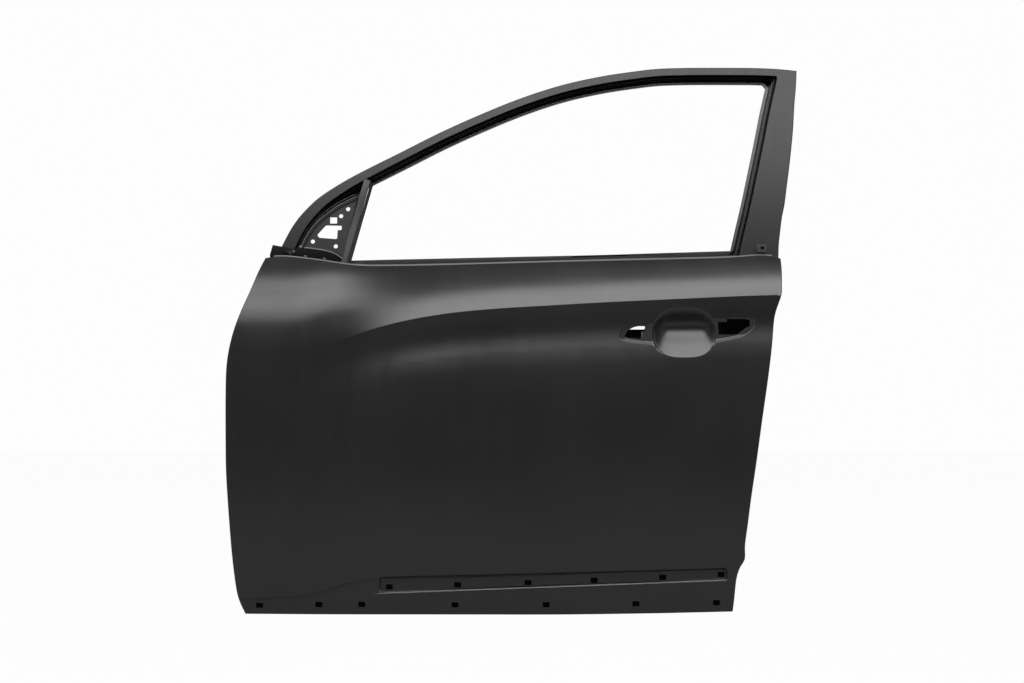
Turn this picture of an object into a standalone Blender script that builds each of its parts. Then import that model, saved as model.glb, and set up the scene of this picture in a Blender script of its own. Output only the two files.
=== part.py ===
"""Front left door shell of a tall passenger car, in bare primed steel.

The origin is the centre of the upper hinge seat. +X points to the rear of the car,
+Y into the car and +Z up, so the outer panel faces -Y and the hinge seats face -X.
Depths are measured inboard from the most outboard line of the outer panel.
"""
import math

import bmesh
import bpy
from mathutils import Vector
from mathutils.geometry import delaunay_2d_cdt

# Main sizes, in metres.
PANEL_LENGTH = 1.116
PANEL_HEIGHT = 0.722
FRAME_HEIGHT = 0.380
BELT_HEIGHT = 0.181
HINGE_SETBACK = 0.036
HINGE_DEPTH = 0.070
HINGE_SPACING_SHARE = 0.471
PAN_DEPTH = 0.122
BELT_DEPTH = 0.052
SCOOP_DEPTH = 0.018
BOTTOM_TUCK = 0.018
FRONT_BOW = 0.010
REAR_BOW = 0.005
FRAME_SETBACK = 0.0605
FRAME_RADIUS = 1.500
FRAME_LEAN_SHARE = 0.21
RING_DEPTH = 0.030

HINGE_SPACING = HINGE_SPACING_SHARE * PANEL_HEIGHT

# Sheet thicknesses and the gap left between welded sheets.
SKIN_SHEET = 0.0008
INNER_SHEET = 0.0008
FRAME_SHEET = 0.0010
BRACE_SHEET = 0.0016
CLEAR = 0.0003
OVERRUN = 0.004

# Edges of the two panels.
HEM_WIDTH = 0.0095
FOLD_RADIUS = 0.0022
FLANGE_WIDTH = 0.0118
WALL_INSET = 0.0145
SEAL_STEP = 0.005
PAN_CORNER = 0.007
BELT_ROLL = 0.006
BELT_FLANGE = 0.016
RIM_STEP = 0.045

# Lower band of the outer panel, where the cladding is fixed.
BAND_STEP = 0.003
CHANNEL_DEPTH = 0.005
CHANNEL_HEIGHT = 0.029
CHANNEL_WALL = 0.004
CLIP_HOLE_LENGTH = 0.014
CLIP_HOLE_HEIGHT = 0.011
CLIP_HOLE_CORNER = 0.0018

# Handle area of the outer panel.
CUP_LENGTH = 0.124
CUP_HEIGHT = 0.100
CUP_DEPTH = 0.028
CUP_DEEP_SHARE = 0.30
POCKET_DEPTH = 0.004
POCKET_WALL = 0.0025

# Window frame section.
HEADER_WIDTH = 0.016
PILLAR_WIDTH = 0.026
HEADER_CHANNEL = 0.0085
FOOT_WIDTH = 0.010
LIP_WIDTH = 0.006
LIP_RAISE = 0.007
RING_INSET = 0.005
RUN_WIDTH = 0.007
RUN_DEPTH = 0.016
BAR_WIDTH = 0.0135
BAR_SETBACK = 0.009
HEADER_REACH = 0.0352
SASH_REACH = 0.0170
BAR_REACH = 0.0124
WINDOW_CORNER = 0.009

# Outlines of the outer panel, as shares of PANEL_LENGTH and PANEL_HEIGHT.
FRONT_EDGE_SHARES = ((0.0705, 0.999), (0.0568, 0.958), (0.0421, 0.902), (0.0270, 0.846),
                     (0.0145, 0.791), (0.0057, 0.735), (0.0012, 0.680), (0.0, 0.600),
                     (0.0, 0.514), (0.0005, 0.417), (0.0025, 0.3475), (0.0073, 0.2364),
                     (0.0118, 0.153), (0.0180, 0.075), (0.0240, 0.036), (0.0344, 0.001))
BOTTOM_EDGE_SHARES = ((0.0344, 0.001), (0.18, 0.0), (0.313, 0.0), (0.45, 0.0), (0.6006, 0.0),
                      (0.7624, 0.003), (0.84, 0.0055), (0.9115, 0.008))
REAR_EDGE_SHARES = ((0.9115, 0.008), (0.914, 0.0413), (0.9178, 0.098), (0.9236, 0.129),
                    (0.9325, 0.155), (0.9329, 0.195), (0.9376, 0.250), (0.9432, 0.320),
                    (0.9535, 0.431), (0.9633, 0.5415), (0.9736, 0.652), (0.9818, 0.749),
                    (0.9858, 0.810), (0.9893, 0.841), (0.9993, 0.8885), (1.0013, 0.916),
                    (1.0019, 0.958), (0.9997, 0.999))
BELT_EDGE_SHARES = ((0.9997, 0.999), (0.9636, 1.004), (0.9087, 0.998), (0.8535, 0.995),
                    (0.6731, 0.9885), (0.4927, 0.981), (0.3665, 0.976), (0.2584, 0.974),
                    (0.215, 0.979), (0.168, 0.990), (0.1048, 1.001), (0.0705, 0.999))
CREASE_SHARES = ((0.02, 0.66), (0.1181, 0.716), (0.1604, 0.741), (0.2148, 0.768),
                 (0.2693, 0.795), (0.3301, 0.8186), (0.4038, 0.8375), (0.4928, 0.8505),
                 (0.5825, 0.8588), (0.6722, 0.867), (0.7618, 0.8735), (0.8515, 0.880),
                 (0.9233, 0.885), (1.0006, 0.889), (1.06, 0.892))
BAND_SHARES = ((0.0, 0.040), (0.0796, 0.0454), (0.1291, 0.050), (0.1506, 0.055),
               (0.1785, 0.068), (0.2064, 0.081), (0.2414, 0.094), (0.2737, 0.100),
               (0.4389, 0.1046), (0.658, 0.115), (0.8967, 0.130), (0.9325, 0.147),
               (1.06, 0.16))

# Depth of the section below the crease: share of the height, then of SCOOP_DEPTH.
LOWER_SECTION_SHARES = ((0.50, 0.0), (0.60, 0.02), (0.71, 0.14), (0.80, 0.42), (0.86, 0.80),
                        (0.92, 1.06), (0.96, 1.08), (1.0, 1.0))
# Depth of the front section: share of PANEL_HEIGHT below the belt, then of BELT_DEPTH.
FRONT_SECTION_SHARES = ((0.0, 1.0), (0.045, 0.79), (0.086, 0.46), (0.13, 0.19),
                        (0.19, 0.04), (0.24, 0.0))
CREASE_FADE_SHARES = (0.115, 0.29)
BOW_CENTRE_SHARE = 0.56

# Outlines of the window frame, as shares of PANEL_LENGTH and of FRAME_HEIGHT above the belt.
HEADER_SHARES = ((0.1021, 0.081), (0.1126, 0.140), (0.1232, 0.188), (0.1303, 0.215),
                 (0.1445, 0.261), (0.1658, 0.318), (0.2017, 0.388), (0.2377, 0.448),
                 (0.3100, 0.557), (0.3827, 0.6675), (0.4557, 0.767), (0.5291, 0.857),
                 (0.6028, 0.930), (0.6768, 0.981), (0.7508, 1.015), (0.7879, 1.0265),
                 (0.8249, 1.0305), (0.8619, 1.032), (0.9358, 1.032), (0.9728, 1.0305),
                 (1.0096, 1.025), (1.0418, 1.015))
PILLAR_SHARES = ((0.9971, 0.0), (0.9982, 0.060), (1.001, 0.124), (1.0053, 0.210),
                 (1.010, 0.269), (1.0159, 0.383), (1.0205, 0.470), (1.0253, 0.568),
                 (1.0305, 0.690), (1.0347, 0.823), (1.0387, 0.913), (1.0398, 0.940))
SASH_EDGE_SHARES = ((0.9255, 0.0), (0.9360, 0.136), (0.9470, 0.271), (0.9593, 0.434),
                    (0.9719, 0.598), (0.9849, 0.765), (0.9980, 0.916), (1.0020, 0.968))
SILL_SHARES = ((0.2182, -0.026), (0.4926, -0.008), (0.6737, 0.004), (0.9114, 0.025))
REAR_STOP_SHARES = (0.090, 0.214, 0.3716, 0.520, 0.6745, 0.837, 0.920, 0.940)

# Mirror plate: outline and holes, as shares of PANEL_LENGTH and FRAME_HEIGHT.
MIRROR_EDGE_SHARES = ((0.1340, 0.0615), (0.1460, 0.1233), (0.1580, 0.172), (0.1705, 0.206),
                      (0.1835, 0.236), (0.1975, 0.265), (0.2110, 0.287), (0.2285, 0.312))
MIRROR_FOOT_SHARES = ((0.2020, -0.025), (0.1898, 0.020), (0.1698, 0.036), (0.1340, 0.045))
MIRROR_STUD_SHARES = ((0.2159, 0.250), (0.2034, 0.2123), (0.1527, 0.0755), (0.1945, 0.0497))
MIRROR_STUD_HOLE = 0.0088
MIRROR_SQUARE_SHARES = ((0.1836, 0.172), (0.1963, 0.172), (0.1963, 0.206), (0.1836, 0.206))
MIRROR_ODD_SHARES = ((0.1641, 0.0954), (0.1968, 0.0880), (0.1975, 0.137), (0.2043, 0.1365),
                     (0.2065, 0.1476), (0.2037, 0.1610), (0.1764, 0.1625), (0.1675, 0.1368),
                     (0.1603, 0.110))
MIRROR_BEAD = 0.003
MIRROR_BEAD_WIDTH = 0.008

# Handle openings, as shares of PANEL_LENGTH and PANEL_HEIGHT.
CUP_PLACE_SHARES = (0.8238, 0.784)
FRONT_POCKET_SHARES = ((0.7690, 0.809), (0.7410, 0.810), (0.7230, 0.799), (0.7077, 0.7826),
                       (0.7045, 0.7715), (0.7104, 0.7604), (0.7266, 0.752), (0.7535, 0.749),
                       (0.7690, 0.747))
FRONT_OPENING_SHARES = ((0.7167, 0.773), (0.7223, 0.7896), (0.732, 0.798), (0.741, 0.8015),
                        (0.7560, 0.8015), (0.7570, 0.770), (0.7464, 0.766), (0.7194, 0.767))
REAR_POCKET_SHARES = ((0.8785, 0.760), (0.9065, 0.767), (0.9308, 0.7757), (0.9461, 0.7924),
                      (0.9525, 0.816), (0.9480, 0.8257), (0.9371, 0.8307), (0.9066, 0.829),
                      (0.8785, 0.8245))
REAR_OPENING_SHARES = ((0.8850, 0.7785), (0.8993, 0.778), (0.9191, 0.7785), (0.9308, 0.792),
                       (0.9425, 0.802), (0.9425, 0.8188), (0.9336, 0.8215), (0.9012, 0.8215),
                       (0.9012, 0.8132), (0.8850, 0.8132))
LOWER_CLIP_SHARES = ((0.0600, 0.0245), (0.1671, 0.0275), (0.2441, 0.0280), (0.4118, 0.0270),
                     (0.5758, 0.0275), (0.7371, 0.0300), (0.8820, 0.0330))
UPPER_CLIP_SHARES = ((0.2936, 0.0767), (0.4167, 0.0826), (0.5429, 0.089), (0.6621, 0.0954),
                     (0.7853, 0.1035), (0.8905, 0.1113))

# Inner panel openings, as shares of PANEL_LENGTH and PANEL_HEIGHT.
MODULE_SHARES = ((0.330, 0.300), (0.345, 0.235), (0.420, 0.205), (0.640, 0.205), (0.745, 0.235),
                 (0.775, 0.300), (0.790, 0.520), (0.765, 0.640), (0.700, 0.675), (0.480, 0.675),
                 (0.375, 0.640), (0.335, 0.540))
SPEAKER_PLACE_SHARES = (0.205, 0.215)
SPEAKER_DIAMETER = 0.170
MODULE_RIM = 0.006
MODULE_RIM_WIDTH = 0.016
TRIM_HOLE = 0.009
TRIM_PLACE_SHARES = ((0.075, 0.52), (0.085, 0.10), (0.30, 0.065), (0.55, 0.065), (0.80, 0.085),
                     (0.905, 0.30), (0.925, 0.66), (0.10, 0.74))
PULL_HOLE_SHARES = ((0.855, 0.50), (0.885, 0.50), (0.890, 0.60), (0.862, 0.60))
HANDLE_ACCESS_SHARES = ((0.7204, 0.7927), (0.7575, 0.7927), (0.7575, 0.8324),
                        (0.7204, 0.8324))
MIRROR_ACCESS_SHARES = ((0.1460, 0.040), (0.2020, 0.018), (0.2060, 0.075), (0.2140, 0.150),
                        (0.2240, 0.235), (0.2240, 0.268), (0.2090, 0.252), (0.1890, 0.213),
                        (0.1700, 0.165), (0.1540, 0.108))

# Hidden pieces.
BEAM_RADIUS = 0.014
BEAM_WALL = 0.0022
BEAM_DEPTH = 0.028
BEAM_FRONT_SHARE = 0.747
BEAM_REAR_SHARE = 0.2715
BEAM_END_GAP = 0.030
BEAM_BRACKET_REACH = 0.080
BEAM_BRACKET_HEIGHT = 0.054
HINGE_BRACE_HEIGHT = 0.082
HINGE_BRACE_DEPTH = 0.062
HINGE_BRACE_REACH = 0.060
HINGE_BOLT_PITCH = 0.044
HINGE_HOLE = 0.011
NUT_WIDTH = 0.018
NUT_HEIGHT = 0.009
CHECK_BRACE_HEIGHT = 0.076
CHECK_SLOT_HEIGHT = 0.030
CHECK_SLOT_WIDTH = 0.020
HARNESS_HOLE = 0.036
HARNESS_RISE = 0.095
LOCK_FACE_SHARE = 0.9606
LOCK_DROP = -0.030
LOCK_BRACE_HEIGHT = 0.086
LOCK_BRACE_REACH = 0.070
LOCK_SLOT_HEIGHT = 0.034
LOCK_SLOT_WIDTH = 0.045
LOCK_HOLE = 0.008
LOCK_HOLE_PITCH = 0.052
BELT_BRACE_HEIGHT = 0.048
BELT_BRACE_BEAD = 0.005
BELT_BRACE_START_SHARE = 0.26
BELT_BRACE_END_SHARE = 0.90
PAD_LENGTH = 0.030
PAD_WIDTH = 0.018
PAD_PLACE_SHARES = (0.30, 0.52, 0.74)
DAMPER_SHEET = 0.0020
DAMPER_LENGTH = 0.260
DAMPER_HEIGHT = 0.170
DAMPER_PLACE_SHARE = 0.36
CLIP_WIDTH = 0.020
CLIP_HEIGHT = 0.016
CLIP_HOLE = 0.006

# Spacing of the points that carry the curved surfaces.
EDGE_PITCH = 0.026
ROW_PITCH = 0.046
FRAME_PITCH = 0.030
HOLE_SIDES = 10


def clear_scene():
    for item in list(bpy.data.objects):
        bpy.data.objects.remove(item)


def panel_place(shares):
    x_share, z_share = shares
    return (x_share * PANEL_LENGTH - HINGE_SETBACK,
            z_share * PANEL_HEIGHT - PANEL_HEIGHT + BELT_HEIGHT)


def frame_place(shares):
    x_share, z_share = shares
    return (x_share * PANEL_LENGTH - HINGE_SETBACK,
            z_share * FRAME_HEIGHT + BELT_HEIGHT)


def distance(first, second):
    return math.hypot(second[0] - first[0], second[1] - first[1])


def smooth_run(points, pitch):
    """Catmull-Rom curve through the points, cut into steps of about one pitch."""
    fine = []
    last = len(points) - 1
    for i in range(last):
        before = points[max(i - 1, 0)]
        after = points[min(i + 2, last)]
        start, end = points[i], points[i + 1]
        steps = max(1, round(distance(start, end) / pitch))
        for k in range(steps):
            t = k / steps
            fine.append(tuple(
                0.5 * (2 * b + (c - a) * t + (2 * a - 5 * b + 4 * c - d) * t * t
                       + (3 * b - a - 3 * c + d) * t ** 3)
                for a, b, c, d in zip(before, start, end, after)))
    fine.append(points[-1])
    return fine


def interpolate(table, value):
    """Straight-line reading of a table of (place, amount) pairs."""
    if value <= table[0][0]:
        return table[0][1]
    for (a, first), (b, second) in zip(table, table[1:]):
        if value <= b:
            return first + (second - first) * (value - a) / (b - a)
    return table[-1][1]


def smooth_read(table, value):
    """Curved reading of the same kind of table, with level slope limits at its ends."""
    if value <= table[0][0]:
        return table[0][1]
    if value >= table[-1][0]:
        return table[-1][1]
    for i in range(len(table) - 1):
        if value <= table[i + 1][0]:
            break
    a, first = table[i]
    b, second = table[i + 1]
    slope_in = table_slope(table, i)
    slope_out = table_slope(table, i + 1)
    width = b - a
    t = (value - a) / width
    return (first * (1 + 2 * t) * (1 - t) ** 2 + second * t * t * (3 - 2 * t)
            + slope_in * width * t * (1 - t) ** 2 - slope_out * width * t * t * (1 - t))


def table_slope(table, i):
    before = table[max(i - 1, 0)]
    after = table[min(i + 1, len(table) - 1)]
    return (after[1] - before[1]) / (after[0] - before[0])


def ease(value):
    t = min(1.0, max(0.0, value))
    return t * t * (3 - 2 * t)


def inset(points, amount, closed=False):
    """Path moved sideways to its left by an amount, with mitred corners."""
    count = len(points)
    moved = []
    for i, point in enumerate(points):
        before = points[i - 1] if closed or i > 0 else None
        after = points[(i + 1) % count] if closed or i < count - 1 else None
        sides = []
        for start, end in ((before, point), (point, after)):
            if start is None or end is None:
                continue
            length = distance(start, end)
            sides.append((-(end[1] - start[1]) / length, (end[0] - start[0]) / length))
        nx = sum(side[0] for side in sides) / len(sides)
        nz = sum(side[1] for side in sides) / len(sides)
        square = max(nx * nx + nz * nz, 0.5)
        moved.append((point[0] + nx * amount / square, point[1] + nz * amount / square))
    return moved


def inside(point, loop):
    x, z = point
    found = False
    for (ax, az), (bx, bz) in zip(loop, loop[1:] + loop[:1]):
        if (az > z) != (bz > z) and x < ax + (z - az) * (bx - ax) / (bz - az):
            found = not found
    return found


def loop_gap(point, loop, closed=True):
    """Shortest distance from a point to a path."""
    ends = loop[1:] + (loop[:1] if closed else [])
    best = None
    for start, end in zip(loop, ends):
        dx, dz = end[0] - start[0], end[1] - start[1]
        square = dx * dx + dz * dz
        t = ((point[0] - start[0]) * dx + (point[1] - start[1]) * dz) / square if square else 0.0
        t = min(1.0, max(0.0, t))
        gap = math.hypot(start[0] + t * dx - point[0], start[1] + t * dz - point[1])
        best = gap if best is None else min(best, gap)
    return best


def round_loop(centre, width, height, sides):
    return [(centre[0] + width / 2 * math.cos(math.tau * (i + 0.5) / sides),
             centre[1] + height / 2 * math.sin(math.tau * (i + 0.5) / sides))
            for i in range(sides)]


def cut_square(centre, width, height):
    """Rectangle with its corners cut off at CLIP_HOLE_CORNER."""
    x, z = width / 2, height / 2
    c = CLIP_HOLE_CORNER
    corners = ((x, z - c), (x - c, z), (c - x, z), (-x, z - c),
               (-x, c - z), (c - x, -z), (x - c, -z), (x, c - z))
    return [(centre[0] + dx, centre[1] + dz) for dx, dz in corners]


# Form of the outer panel.

def bow(x):
    """Plan bow: how far the panel falls away inboard toward its two ends."""
    centre = BOW_CENTRE_SHARE * PANEL_LENGTH - HINGE_SETBACK
    if x < centre:
        return FRONT_BOW * ((centre - x) / (centre + HINGE_SETBACK)) ** 2
    return REAR_BOW * ((x - centre) / (PANEL_LENGTH - HINGE_SETBACK - centre)) ** 2


CREASE_LINE = [panel_place(pair) for pair in CREASE_SHARES]
BAND_LINE = [panel_place(pair) for pair in BAND_SHARES]
CUP_CENTRE = panel_place(CUP_PLACE_SHARES)
FRONT_POCKET = [panel_place(pair) for pair in FRONT_POCKET_SHARES]
REAR_POCKET = [panel_place(pair) for pair in REAR_POCKET_SHARES]
BOTTOM = BELT_HEIGHT - PANEL_HEIGHT


def panel_share(x):
    return (x + HINGE_SETBACK) / PANEL_LENGTH


def plain_depth(x, z):
    """Depth of the outer panel before the handle cup, pockets and cladding band."""
    crease = smooth_read(CREASE_LINE, x)
    if z < crease:
        share = (z - BOTTOM) / (crease - BOTTOM)
        sharp = SCOOP_DEPTH * smooth_read(LOWER_SECTION_SHARES, share)
    else:
        rise = min(1.0, (z - crease) / (BELT_HEIGHT - crease))
        sharp = SCOOP_DEPTH + (BELT_DEPTH - SCOOP_DEPTH) * (1.75 * rise - 0.75 * rise * rise)
    soft = BELT_DEPTH * smooth_read(FRONT_SECTION_SHARES, (BELT_HEIGHT - z) / PANEL_HEIGHT)
    start, end = CREASE_FADE_SHARES
    blend = ease((panel_share(x) - start) / (end - start))
    tuck = max(0.0, 1 - (z - BOTTOM) / (PANEL_HEIGHT / 2))
    return bow(x) + soft + (sharp - soft) * blend + BOTTOM_TUCK * tuck * tuck


def band_depth(x, z):
    """Step into the cladding band, and the channel that runs along its top."""
    line = interpolate(BAND_LINE, x)
    depth = BAND_STEP if z < line else 0.0
    low = line - CHANNEL_HEIGHT
    if CHANNEL_START < x < CHANNEL_END and low < z < line:
        depth += CHANNEL_DEPTH * min(1.0, (z - low) / CHANNEL_WALL)
    return depth


CHANNEL_START = panel_place(BAND_SHARES[7])[0]
CHANNEL_END = panel_place(BAND_SHARES[10])[0]


def handle_depth(x, z):
    """Finger cup and the two shallow pockets beside it."""
    across = (x - CUP_CENTRE[0]) / (CUP_LENGTH / 2)
    up = (z - CUP_CENTRE[1]) / (CUP_HEIGHT / 2)
    cup = CUP_DEPTH * cup_share(across, up)
    pocket = 0.0
    for loop in (FRONT_POCKET, REAR_POCKET):
        if inside((x, z), loop):
            pocket = POCKET_DEPTH * min(1.0, loop_gap((x, z), loop) / POCKET_WALL)
    return max(cup, pocket)


def cup_share(across, up):
    """Share of the cup's depth: 1 at its deepest place, 0 at the rim."""
    if math.hypot(across, up) >= 1:
        return 0.0
    rise = up - CUP_DEEP_SHARE
    square = across * across + rise * rise
    if square == 0:
        return 1.0
    lean = CUP_DEEP_SHARE * rise
    reach = square / (math.sqrt(lean * lean + square * (1 - CUP_DEEP_SHARE ** 2)) - lean)
    soft = 1 - ease(reach)
    crisp = 1 - reach ** 1.35
    low = ease(0.5 - rise / (2 * math.sqrt(square)))
    return crisp * low + soft * (1 - low)


def skin_depth(x, z):
    return plain_depth(x, z) + band_depth(x, z) + handle_depth(x, z)


def frame_depth(x, z):
    """Outer face of the window frame, which leans in on a circle above the belt."""
    slope = FRAME_LEAN_SHARE
    lean = slope / math.hypot(1, slope)
    reach = lean + (z - BELT_HEIGHT) / FRAME_RADIUS
    return (bow(x) + FRAME_SETBACK
            + FRAME_RADIUS * (math.sqrt(1 - lean * lean) - math.sqrt(max(0.0, 1 - reach * reach))))


# Mesh helpers. A flat place (x, z) and a depth make a point of the part.

def point_at(x, z, depth):
    return Vector((x, depth - HINGE_DEPTH, z))


def ring(bm, places, form, offset=0.0):
    return [bm.verts.new(point_at(x, z, form(x, z) + offset)) for x, z in places]


def strip(bm, first, second, closed=False):
    count = len(first)
    for i in range(count if closed else count - 1):
        k = (i + 1) % count
        bm.faces.new((first[i], first[k], second[k], second[i]))


def fill(bm, rim, holes, folds, spots, form):
    """Triangulated surface inside the rim, open at the holes, creased along the folds."""
    places, edges, owners = [], [], []

    def add_path(path, verts, closed):
        start = len(places)
        places.extend(path)
        owners.extend(verts if verts else [None] * len(path))
        count = len(path)
        for i in range(count if closed else count - 1):
            edges.append((start + i, start + (i + 1) % count))

    outline = [(vert.co.x, vert.co.z) for vert in rim]
    add_path(outline, rim, True)
    for hole in holes:
        add_path(hole, None, True)
    for path, closed in folds:
        add_path(path, None, closed)
    places.extend(spots)
    owners.extend([None] * len(spots))
    flat = [Vector(place) for place in places]
    points, _, faces, origin, _, _ = delaunay_2d_cdt(flat, edges, [], 0, CLEAR / 100, True)
    made = []
    for point, source in zip(points, origin):
        owned = [owners[i] for i in source if owners[i] is not None]
        x, z = point
        made.append(owned[0] if owned else (x, z))
    inner = {}
    for face in faces:
        middle = (sum(points[i].x for i in face) / 3, sum(points[i].y for i in face) / 3)
        if not inside(middle, outline) or any(inside(middle, hole) for hole in holes):
            continue
        corners = []
        for i in face:
            if isinstance(made[i], tuple):
                if i not in inner:
                    x, z = made[i]
                    inner[i] = bm.verts.new(point_at(x, z, form(x, z)))
                corners.append(inner[i])
            else:
                corners.append(made[i])
        if len(set(corners)) == 3:
            bm.faces.new(corners)


def grid_spots(xs, rows, keep_out, gap):
    """Places on rows, left out where they come too close to a path."""
    spots = []
    for row in rows:
        for x in xs:
            place = (x, row(x))
            if all(loop_gap(place, path, closed) > gap for path, closed in keep_out):
                spots.append(place)
    return spots


def finish_mesh(bm, name):
    bmesh.ops.recalc_face_normals(bm, faces=bm.faces)
    mesh = bpy.data.meshes.new(name)
    bm.to_mesh(mesh)
    bm.free()
    return mesh


def sheet_object(name, bm, thickness, finish, toward=1.0, seed=0):
    """Open surface with real thickness, laid on the inboard side of its modelled face."""
    bmesh.ops.recalc_face_normals(bm, faces=bm.faces)
    bm.faces.ensure_lookup_table()
    if bm.faces[seed].normal.y * toward > 0:
        bmesh.ops.reverse_faces(bm, faces=bm.faces)
    mesh = bpy.data.meshes.new(name)
    bm.to_mesh(mesh)
    bm.free()
    item = place_object(name, mesh, finish)
    wall = item.modifiers.new("sheet", "SOLIDIFY")
    wall.thickness = thickness
    wall.offset = -1.0
    wall.use_quality_normals = True
    return item


def place_object(name, mesh, finish):
    item = bpy.data.objects.new(name, mesh)
    PARTS.objects.link(item)
    mesh.materials.append(finish)
    mesh.shade_smooth()
    mesh.set_sharp_from_angle(angle=math.radians(30))
    return item


def make_finish(name, colour, roughness, metallic):
    finish = bpy.data.materials.new(name)
    finish.use_nodes = True
    shader = finish.node_tree.nodes["Principled BSDF"]
    shader.inputs["Base Color"].default_value = colour
    shader.inputs["Roughness"].default_value = roughness
    shader.inputs["Metallic"].default_value = metallic
    return finish


def make_collection(name):
    group = bpy.data.collections.new(name)
    bpy.context.scene.collection.children.link(group)
    return group


def cutter(name, bm):
    item = bpy.data.objects.new(name, finish_mesh(bm, name))
    CUTTERS.objects.link(item)
    item.hide_render = True
    item.display_type = "WIRE"
    return item


def cut(item, tool):
    step = item.modifiers.new("holes", "BOOLEAN")
    step.operation = "DIFFERENCE"
    step.object = tool


def rod(bm, start, end, radius, sides=HOLE_SIDES):
    """Round bar between two points, for holes through a wall."""
    axis = Vector(end) - Vector(start)
    turn = axis.to_track_quat("Z", "Y").to_matrix().to_4x4()
    turn.translation = (Vector(start) + Vector(end)) / 2
    bmesh.ops.create_cone(bm, cap_ends=True, segments=sides, radius1=radius, radius2=radius,
                          depth=axis.length, matrix=turn)


def block(bm, centre, size):
    made = bmesh.ops.create_cube(bm, size=1.0)
    for vert in made["verts"]:
        vert.co = Vector([c + v * s for c, v, s in zip(centre, vert.co, size)])


def edge_path(shares, place, pitch):
    """Sharp-cornered run of an outline, smooth between its ends."""
    return smooth_run([place(pair) for pair in shares], pitch)


def panel_outline():
    """Front, bottom and rear edge as one path, then the belt edge."""
    low = edge_path(FRONT_EDGE_SHARES, panel_place, EDGE_PITCH)[:-1]
    low += edge_path(BOTTOM_EDGE_SHARES, panel_place, ROW_PITCH)[:-1]
    low += edge_path(REAR_EDGE_SHARES, panel_place, EDGE_PITCH)
    belt = edge_path(BELT_EDGE_SHARES, panel_place, ROW_PITCH)
    return low, belt[1:-1]


LOW_EDGE, BELT_EDGE = panel_outline()
OUTLINE = LOW_EDGE + BELT_EDGE


def clip_hole_loops():
    holes = []
    for pair in LOWER_CLIP_SHARES + UPPER_CLIP_SHARES:
        holes.append(cut_square(panel_place(pair), CLIP_HOLE_LENGTH, CLIP_HOLE_HEIGHT))
    return holes


def outer_panel(finish):
    """Skin pressing: hemmed front, bottom and rear edges and a rolled belt edge."""
    bm = bmesh.new()
    low, belt = LOW_EDGE, BELT_EDGE
    rim = ring(bm, OUTLINE, skin_depth)
    holes = clip_hole_loops()
    holes.append([panel_place(pair) for pair in FRONT_OPENING_SHARES])
    holes.append([panel_place(pair) for pair in REAR_OPENING_SHARES])
    folds = panel_folds(low)
    keep_out = folds + [(hole, True) for hole in holes] + [(OUTLINE, True)]
    spots = grid_spots(panel_columns(), panel_rows(), keep_out, ROW_PITCH / 3)
    fill(bm, rim, holes, folds, spots, skin_depth)
    fold_hem(bm, rim[:len(low)], low)
    roll_belt(bm, rim[len(low):], belt)
    return sheet_object("outer_panel", bm, SKIN_SHEET, finish)


def panel_columns():
    count = round(PANEL_LENGTH / ROW_PITCH)
    return [PANEL_LENGTH * (i + 0.5) / count - HINGE_SETBACK for i in range(count)]


def crease_row(drop_share):
    """Row of places that follows the crease, between the bottom and the crease."""
    def row(x):
        crease = smooth_read(CREASE_LINE, x)
        return crease - (crease - BOTTOM) * drop_share
    return row


def belt_row(rise_share):
    def row(x):
        crease = smooth_read(CREASE_LINE, x)
        return crease + (BELT_HEIGHT - crease) * rise_share
    return row


def panel_rows():
    rows = [belt_row(share) for share in (0.25, 0.5, 0.75)]
    rows += [crease_row(share) for share in (0.04, 0.08, 0.13, 0.19, 0.26, 0.36, 0.48,
                                             0.60, 0.72, 0.82)]
    return rows


def panel_folds(low):
    """Crease, cladding band, channel, cup and pocket edges."""
    lines = [panel_place(pair) for pair in CREASE_SHARES[1:-1]]
    crease = [place for place in smooth_run(lines, ROW_PITCH) if near_panel(place)]
    folds = [(crease, False), (inset(low, HEM_WIDTH)[1:-1], False)]
    folds.append((inset(low, FLANGE_WIDTH)[1:-1], False))
    band = [place for place in smooth_run(BAND_LINE, ROW_PITCH) if near_panel(place)]
    folds.append((band, False))
    folds.append(([(x, z - CLEAR) for x, z in band if x < CHANNEL_START], False))
    channel = [place for place in band if CHANNEL_START - CLEAR < place[0] < CHANNEL_END + CLEAR]
    for drop in (CHANNEL_WALL, CHANNEL_HEIGHT - CHANNEL_WALL, CHANNEL_HEIGHT):
        folds.append(([(x, z - drop) for x, z in channel], False))
    for share in (1.0, 0.86, 0.66, 0.4):
        folds.append((round_loop(CUP_CENTRE, CUP_LENGTH * share, CUP_HEIGHT * share, 20), True))
    for pocket in (FRONT_POCKET, REAR_POCKET):
        folds.append((pocket, False))
        folds.append((inset(pocket, -POCKET_WALL), False))
    return folds


def near_panel(place):
    return inside(place, OUTLINE) and loop_gap(place, OUTLINE) > FOLD_RADIUS * 4


def hem_depth(x, z):
    fold = SKIN_SHEET * 2 + INNER_SHEET + CLEAR * 2
    return plain_depth(x, z) + band_depth(x, z) + fold * steepness(plain_depth, x, z)


def fold_hem(bm, rim, low):
    """Edge folded right back over the inner panel's flange."""
    turn = ring(bm, low[1:-1], hem_depth)
    lip = ring(bm, inset(low, HEM_WIDTH)[1:-1], hem_depth)
    strip(bm, rim[1:-1], turn)
    strip(bm, turn, lip)


def roll_belt(bm, rim, belt):
    """Belt edge rolled inboard and turned down as a flange."""
    path = belt[1:-1]
    turn = ring(bm, path, skin_depth, BELT_ROLL)
    foot = [bm.verts.new(point_at(x, z - BELT_FLANGE, skin_depth(x, z) + BELT_ROLL))
            for x, z in path]
    strip(bm, rim[1:-1], turn)
    strip(bm, turn, foot)



# Inner panel: a deep pan below the belt and a ring round the window above it.

def lock_face():
    return LOCK_FACE_SHARE * PANEL_LENGTH - HINGE_SETBACK


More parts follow.
